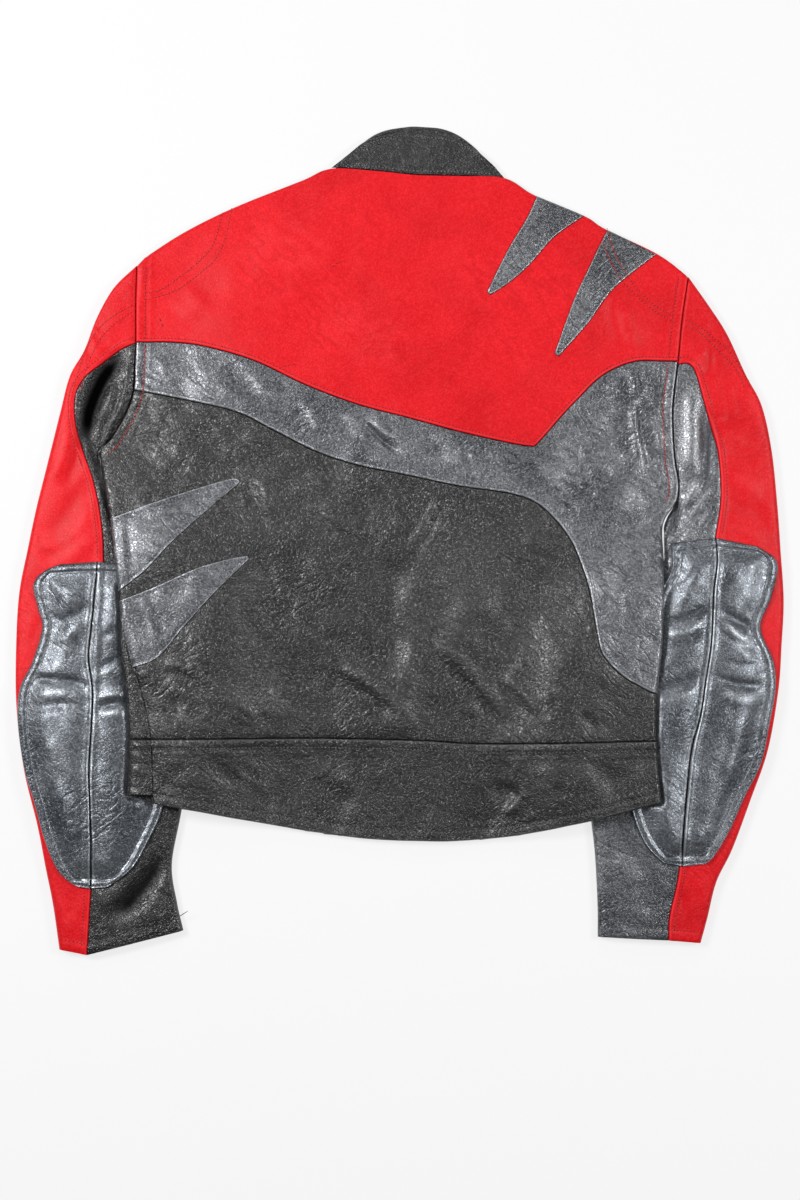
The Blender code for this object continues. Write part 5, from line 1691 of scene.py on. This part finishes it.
@dataclass
class Collar:
    """The stand collar, pressed flat: its back part in front, its front part's inside above it."""

    thick: float = 2.6
    roll: float = 1.3
    stitch_off: float = 3.6
    grids: list[Array] = field(default_factory=list)

    def part(self, name: str, lower: Sequence[Point], upper: Sequence[Point], base: float,
             seed: int) -> None:
        """Make one part between its seam and its top edge.

        Args:
            name: the node that it stands for.
            lower, upper: its seam and its top edge, from left to right.
            base: the height of its underside.
            seed: which noise its surface follows.
        """
        share = np.linspace(0.0, 1.0, 110)
        ends = [at_shares(smooth_line(points), share) for points in (lower, upper)]
        height = np.linalg.norm(ends[1] - ends[0], axis=1)
        up = across_strip(SEAM_STEPS, round_steps(self.roll, (0.8, 1.8, 3.0), 4), 14,
                          height[:, None], 0.352).T
        flat = between(ends[0], ends[1], up)
        x, y = flat[..., 0], flat[..., 1]
        from_seam, from_top = up * height, (1.0 - up) * height
        side = np.minimum(share, 1.0 - share) * 150.0
        z = base + self.thick + 1.1 * np.sin(math.pi * np.clip(up, 0.0, 1.0)) * ease(side / 30.0)
        z -= np.maximum(roll_drop(from_top, self.roll), roll_drop(from_seam, SEAM_ROLL))
        z -= np.maximum(0.0, roll_drop(side, self.roll) - 0.2)
        z += strip(from_top, 3.2, 0.7) + puckers(x, from_top - self.stitch_off, 0.22, seed)
        z -= 0.3 * bell(from_top - self.stitch_off, 1.0)
        z += (0.7 * noise(x, y, 14.0, seed + 1) + 0.3 * noise(x, y, 6.0, seed + 2)) * ease(side / 10.0)
        z -= 0.6 * bell(from_seam, 3.0)
        outside = stack(x, y, z)
        inside = stack(x, y, 0.0 * z + base + 0.1 * ease(from_seam / 3.0))
        # fold is noise, and a rise at the top edge that is only in the colour: a painted highlight
        # along that edge.
        fold = 0.6 * noise(x, y, 9.0, seed + 3) + 1.6 * bell(from_top, 1.3)
        data = {"edge": capped(from_seam), "fold": fold}
        piece = shell(name + "_leather", outside, inside, data=data)
        self.grids.append(outside)
        lay(dress(piece, Finish.COLLAR, name), outside)

    def build(self) -> None:
        """Build the front part, which lies on the floor, and the back part on it."""
        self.part("collar_front", COLLAR_FRONT_SEAM, COLLAR_FRONT_TOP, 0.0, 80)
        self.part("collar_back", COLLAR_SEAM, COLLAR_TOP, 4.2, 84)


LEFT_PAD_SEW = (
    rows(Side, (311, -168.3), (298, -171.5), (279, -177.7), (265, -190.4), (254, -203), (243, -218.7),
         (236.6, -229.8), (234.5, -241)),
    rows(Side, (315, -160), (295, -163.6), (279, -168.3), (265, -176.2), (254, -188.8), (243, -203),
         (235, -217.2), (228, -241)),
)
RIGHT_PAD_SEW = (
    rows(Side, (295.5, 196.7), (280.3, 200.5), (267, 206.2), (250.8, 215.7), (237.5, 226),
         (222.3, 242.3), (212.8, 259)),
    rows(Side, (290, 191), (273.6, 195.7), (259.4, 202.4), (246, 210.5), (231.8, 224.2), (217.6, 241.3),
         (208.1, 257)),
)
LEFT_SLEEVE_SEW = (
    rows(Side, (222.3, -255), (212.8, -271.7), (199.5, -286.9), (180.5, -298.3), (160.6, -305),
         (140, -311)),
    rows(Side, (216, -255), (206.5, -269), (194, -282), (176, -292.5), (158, -299), (142, -303)),
)
RIGHT_SLEEVE_SEW = (
    rows(Side, (208.4, 272), (202.6, 284.2), (190, 299.7), (180.3, 311.4), (164.8, 323), (150, 332)),
    rows(Side, (203, 272), (195.8, 286.1), (182.2, 299.7), (170.6, 311.4), (158.9, 321), (146, 326)),
)


LOOSE_END = Point(-214.5, -360)       # where a thread's end comes out at the left cuff


def over_x(curve: Curve, start: float, end: float) -> Array:
    """A line that is read over x, from one x to another."""
    x = np.linspace(start, end, 400)
    return stack(x, curve(x))


def over_y(curve: Curve, start: float, end: float) -> Array:
    """A line that is read over y, from one y to another."""
    y = np.linspace(start, end, 300)
    return stack(curve(y), y)


def beside(path: Array, distance: float) -> Array:
    """The line at a distance to the left of a path, seen from above."""
    along = unit(np.gradient(path, axis=0))
    return path + distance * stack(-along[:, 1], along[:, 0])


def even(path: Array, step: float) -> Array:
    """Points at even steps of about the given length along a path."""
    return at_shares(path, np.linspace(0.0, 1.0, max(4, int(distances(path)[-1] / step))))


@dataclass
class Sewing:
    """Rows of stitches laid on the finished leather, one mesh for each colour of thread."""

    pitch: float = 3.25
    length: float = 2.35
    thick: float = 0.46
    sides: int = 5
    hole: float = 0.48
    rows: dict[Finish, list[Array]] = field(default_factory=dict)
    holes: list[Array] = field(default_factory=list)

    def sew(self, path: Array, finish: Finish, surface: Surface,
            shown: Shown = lambda x, y: x == x) -> None:
        """Sew a row of stitches.

        Each stitch is kept as five places along itself, with the height of its middle line: it
        comes up out of the leather, lies on it and dives in again.

        Args:
            path: the row in plan, points by 2.
            finish: the thread.
            surface: what it is sewn on.
            shown: tells for x and y which stitches to keep.
        """
        along = distances(path)
        count = max(1, int(along[-1] / self.pitch))
        chance = np.random.default_rng(count)
        middles = (np.arange(count) + 0.5) * along[-1] / count
        reach = np.array([-0.5, -0.32, 0.0, 0.32, 0.5]) * self.length
        places = middles[:, None] + reach * chance.uniform(0.88, 1.08, (count, 1))
        x, y = (np.interp(places, along, path[:, k]) for k in (0, 1))
        x = x + chance.normal(0.0, 0.09, x.shape[:1])[:, None]
        kept = shown(x[:, 2], y[:, 2])
        x, y = x[kept], y[kept]
        self.pierce(path, along, count, surface, shown)
        if len(x):
            ground = surface.height(x, y)
            level = np.linspace(0.0, 1.0, 5) * (ground[:, -1:] - ground[:, :1]) + ground[:, :1]
            high = np.maximum(ground, 0.5 * (ground + level))
            z = high + self.thick * np.array([-0.5, 0.1, 0.35, 0.1, -0.5])
            self.rows.setdefault(finish, []).append(stack(x, y, z))

    def pierce(self, path: Array, along: Array, count: int, surface: Surface, shown: Shown) -> None:
        """Keep the places of the holes between a row's stitches, each as the ring of its corners.

        Args:
            path, along: the row, and how far along it each of its points is.
            count: how many stitches it has.
            surface, shown: as for the stitches.
        """
        middles = np.linspace(0.0, along[-1], count + 1)
        x, y = (np.interp(middles, along, path[:, k]) for k in (0, 1))
        kept = shown(x, y)
        x, y = x[kept], y[kept]
        if len(x):
            x = x[:, None] + self.hole * np.cos(self.angles())
            y = y[:, None] + self.hole * np.sin(self.angles())
            self.holes.append(stack(x, y, surface.height(x, y)))

    def angles(self) -> Array:
        """Where the corners of a thread's or a hole's cross section are, as angles."""
        return np.arange(self.sides) * 2.0 * math.pi / self.sides

    def rods(self, name: str, points: Array, finish: Finish) -> None:
        """Make one mesh of many short rods with closed ends.

        Args:
            name: the piece's name.
            points: the rods' corners, rods by rings by sides by 3.
            finish: their finish.
        """
        index = np.arange(points.shape[1] * self.sides).reshape(-1, self.sides)
        after = np.roll(index, -1, axis=1)
        walls = stack(index[:-1], after[:-1], after[1:], index[1:]).reshape(-1, 4)
        starts = (np.arange(len(points)) * index.size)[:, None, None]
        ends = starts + np.stack([index[0, ::-1], index[-1]])
        faces = (starts + walls).reshape(-1, 4).tolist() + ends.reshape(-1, self.sides).tolist()
        dress(joined(name, points.reshape(-1, 3), faces), finish)

    def plugs(self) -> None:
        """One mesh of all the holes between stitches, each a thin dark disc let into the leather: their
        painted shade.
        """
        ring = np.concatenate(self.holes)
        points = np.stack([ring - (0.0, 0.0, 0.25), ring + (0.0, 0.0, 0.09)], axis=1)
        self.rods("needle_holes", points, Finish.HOLES)

    def thread(self, finish: Finish) -> None:
        """One mesh of all the stitches of one thread: rods with five sides and closed ends.

        Args:
            finish: the thread.
        """
        middle = np.concatenate(self.rows[finish])
        along = unit((middle[:, -1] - middle[:, 0]) * (1.0, 1.0, 0.0))[:, None, None]
        side = stack(-along[..., 1], along[..., 0], 0.0 * along[..., 0])
        angle = self.angles()[:, None]
        radius = self.thick * np.array([0.55, 0.95, 1.0, 0.95, 0.55])[:, None, None]
        ring = radius * (side * np.cos(angle) + np.sin(angle) * (0.0, 0.0, 0.8))
        self.rods(finish.value.name.replace(" ", "_"), middle[:, :, None] + ring, finish)

    def body(self, off: float, surface: Surface) -> None:
        """Sew the rows of the body's seams, its hem and its shoulder pads.

        Args:
            off: how far the rows of the armholes, the waist and the hem are from their seams.
            surface: the back with the inserts on it.
        """
        dark, red, black = Finish.RED_THREAD, Finish.BRIGHT_THREAD, Finish.BLACK_THREAD
        for path, distance, finish in (
                (over_x(yoke_seam, -246, 266), 3.4, dark),
                (over_x(band_edge, -248, 242), 3.4, Finish.GREY_THREAD),
                (over_x(waist_seam, -232, 240), -off, black),
                (over_x(hem_line, -231, 245), off - 0.6, black),
                (over_x(hem_line, -256, -236), off - 0.6, black),
                (over_y(left_edge, 258, 192), off, dark), (over_y(left_edge, 185, 86), off, red),
                (over_y(right_edge, 173, 246), off, dark), (over_y(right_edge, 31, 167), off, red)):
            self.sew(beside(path, distance), finish, surface)
        for row in LEFT_PAD_SEW + RIGHT_PAD_SEW:
            self.sew(smooth_line(row)[:, ::-1], dark, surface)

    def darts(self, surface: Surface) -> None:
        """Sew round the edges of the pointed inserts."""
        for _, first, second in SHOULDER_DARTS + SIDE_DARTS:
            one, two = smooth_line(first), smooth_line(second)
            clockwise = np.cross(two[0] - one[0], one[-1] - one[0]) > 0
            path = beside(even(np.vstack([one, two[::-1]]), 2.5), -3.6 if clockwise else 3.6)
            self.sew(path[2:-2], Finish.GREY_THREAD, surface)

    def sleeve(self, sleeve: Sleeve, pads: Sequence[Sequence[Side]],
               patch: Sequence[PadRow]) -> None:
        """Sew a sleeve's seam, on its red side, its cuff, and the rows of its shoulder pad.

        Args:
            sleeve: the sleeve.
            pads: the rows of the pad.
            patch: the rows of the elbow patch, under which the seam isn't sewn.
        """
        surface = Surface(sleeve.grids)
        lines = sleeve.lines()
        seam = sleeve.plan(lines, "outer")[0][:, 0]
        cuff, top, low = seam[-1, 1] + 9.0, patch[0].mid_y + 4.0, patch[-1].mid_y - 3.0
        self.sew(beside(even(seam, 4.0), 5.8 * sleeve.hand.value), Finish.RED_THREAD, surface,
                 lambda x, y: ((y > top) | (y < low)) & (y > cuff))
        for which, finish in (("outer", Finish.RED_THREAD), ("inner", Finish.BLACK_THREAD)):
            ends = np.stack([lines["seam"][-1], lines[which][-1]])
            ends[:, 1] += sleeve.cuff_strip
            self.sew(even(ends, 1.0)[2:-3], finish, surface)
        for row in pads:
            self.sew(smooth_line(row)[:, ::-1], Finish.RED_THREAD, surface)
        if sleeve.hand is Hand.LEFT:
            self.loose_end(surface)

    def loose_end(self, surface: Surface) -> None:
        """Leave the end of the left cuff's thread sticking out past the edge, a little bowed."""
        share = np.linspace(0.0, 1.0, 5)
        x = LOOSE_END.x + 13.0 * share
        y = LOOSE_END.y + 6.5 * share + 1.2 * share * share
        z = surface.height(x[:1], y[:1]) + 0.3 - 1.0 * share
        self.rows[Finish.BLACK_THREAD].append(stack(x, y, z)[None])

    def patch(self, patch: ElbowPatch) -> None:
        """Sew the two rows round an elbow patch and the one beside its middle seam."""
        surface = Surface(patch.grids)
        table = smooth_line(patch.rows, 12)
        outer, centre, inner = table[:, 0:2], table[:, 2:4], table[:, 4:6]
        ring = even(np.vstack([centre[:1], inner, centre[-1:], outer[::-1], centre[:1]]), 3.0)
        turn = np.cross(inner[0] - centre[0], outer[-1] - centre[0])
        way = 1.0 if turn > 0 else -1.0
        line, out = even(centre, 3.0)[5:-5], (patch.piping + 1.4) * patch.sleeve.hand.value
        for path, distance in ((ring, way * 2.4), (ring, way * (patch.rim + 1.0)), (line, out)):
            self.sew(beside(path, distance), Finish.GREY_THREAD, surface,
                     lambda x, y: patch.sleeve.inside_body(x, y) < 3.0)

    def collar(self, collar: Collar) -> None:
        """Sew the collar's top edge and the row along its seam."""
        surface = Surface(collar.grids)
        top = even(smooth_line(COLLAR_TOP), 3.0)[2:-3]
        seam = even(smooth_line(COLLAR_SEAM), 3.0)[5:-4]
        self.sew(beside(top, -3.4), Finish.BLACK_THREAD, surface)
        self.sew(beside(seam, 3.2), Finish.BLACK_THREAD, surface)

    def build(self) -> None:
        """Make the threads and the painted shade of the holes between their stitches."""
        for finish in self.rows:
            self.thread(finish)
        self.plugs()


@dataclass
class Studio:
    """A pale floor, soft light from above, and the camera over the jacket."""

    distance: float = 2400.0
    centre: Point = Point(0.0, -57.0)
    view_height: float = 1140.0
    jacket_height: float = 8.0
    sensor: float = 36.0
    floor_half: float = 6000.0
    floor_below: float = 0.4
    world_light: float = 0.12

    def build(self) -> None:
        """Build the floor, the lights and the camera."""
        self.floor()
        self.light("key", (-1100.0, 340.0, 1350.0), 480.0, 27.0)
        self.light("fill", (1200.0, 60.0, 1250.0), 480.0, 15.5)
        self.light("top", (-100.0, 1500.0, 1100.0), 520.0, 6.5)
        self.world()
        self.camera()
        view = bpy.context.scene.view_settings
        view.view_transform, view.look = "Standard", "None"

    def floor(self) -> None:
        """A large plain white sheet of paper."""
        points = np.array([(-1.0, -1.0, 0.0), (1.0, -1.0, 0.0), (1.0, 1.0, 0.0), (-1.0, 1.0, 0.0)])
        points = points * self.floor_half - (0.0, 0.0, self.floor_below)
        floor = joined("floor", points, np.array([(0, 1, 2, 3)]))
        n = Nodes("floor")
        n.set(Base_Color=colour(0.14, 0.14, 0.141), Roughness=0.85,
              Emission_Color=colour(1.0, 1.0, 1.0), Emission_Strength=0.775)
        floor.data.materials.append(n.material)

    def light(self, name: str, place: tuple[float, float, float], size: float, power: float) -> None:
        """Hang one square soft light, turned to the jacket's middle.

        Args:
            name: its name.
            place: where it hangs, in millimetres.
            size: its side, in millimetres.
            power: in watts.
        """
        data = bpy.data.lights.new(name, "AREA")
        data.energy, data.size = power, size * MM
        lamp = bpy.data.objects.new(name, data)
        lamp.location = Vector(place) * MM
        lamp.rotation_euler = (-Vector(place)).to_track_quat("-Z", "Y").to_euler()
        bpy.context.scene.collection.objects.link(lamp)

    def world(self) -> None:
        """Faint even white light from all round."""
        world = bpy.data.worlds.new("studio")
        world.use_nodes = True
        back = world.node_tree.nodes["Background"]
        back.inputs["Color"].default_value = colour(1.0, 1.0, 1.0)
        back.inputs["Strength"].default_value = self.world_light
        bpy.context.scene.world = world

    def camera(self) -> None:
        """Look straight down, the view as tall as the photograph at the jacket's height."""
        data = bpy.data.cameras.new("camera")
        data.sensor_width = self.sensor
        data.lens = self.sensor * (self.distance - self.jacket_height) / self.view_height
        camera = bpy.data.objects.new("camera", data)
        camera.location = Vector((*self.centre, self.distance)) * MM
        bpy.context.scene.collection.objects.link(camera)
        bpy.context.scene.camera = camera


def main() -> None:
    """Build the jacket and its studio in order, and note its sizes."""
    logging.basicConfig(level=logging.INFO, format="%(name)s: %(message)s")
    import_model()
    Studio().build()
    body = Body()
    body.build()
    Zip().build()
    darts, collar, sewing, patches = Darts(body), Collar(), Sewing(), []
    sleeves = (Sleeve(Hand.LEFT, LEFT_SLEEVE, LEFT_SLEEVE_CREASES, left_edge, LEFT_UNDERARM,
                      Finish.BLACK, body),
               Sleeve(Hand.RIGHT, RIGHT_SLEEVE, RIGHT_SLEEVE_CREASES, right_edge, RIGHT_UNDERARM,
                      Finish.GREY, body))
    pads = ((LEFT_PAD, LEFT_PAD_CREASES), (RIGHT_PAD, RIGHT_PAD_CREASES))
    for sleeve, (pad, creases) in zip(sleeves, pads):
        sleeve.build()
        patches.append(ElbowPatch(sleeve, pad, creases))
        patches[-1].build()
    darts.build()
    collar.build()
    sewing.body(body.stitch_off, Surface(body.grids + darts.grids))
    sewing.darts(Surface(darts.grids))
    for sleeve, sewn, (pad, _) in zip(sleeves, (LEFT_SLEEVE_SEW, RIGHT_SLEEVE_SEW), pads):
        sewing.sleeve(sleeve, sewn, pad)
    for patch in patches:
        sewing.patch(patch)
    sewing.collar(collar)
    sewing.build()


if __name__ == "__main__":
    main()
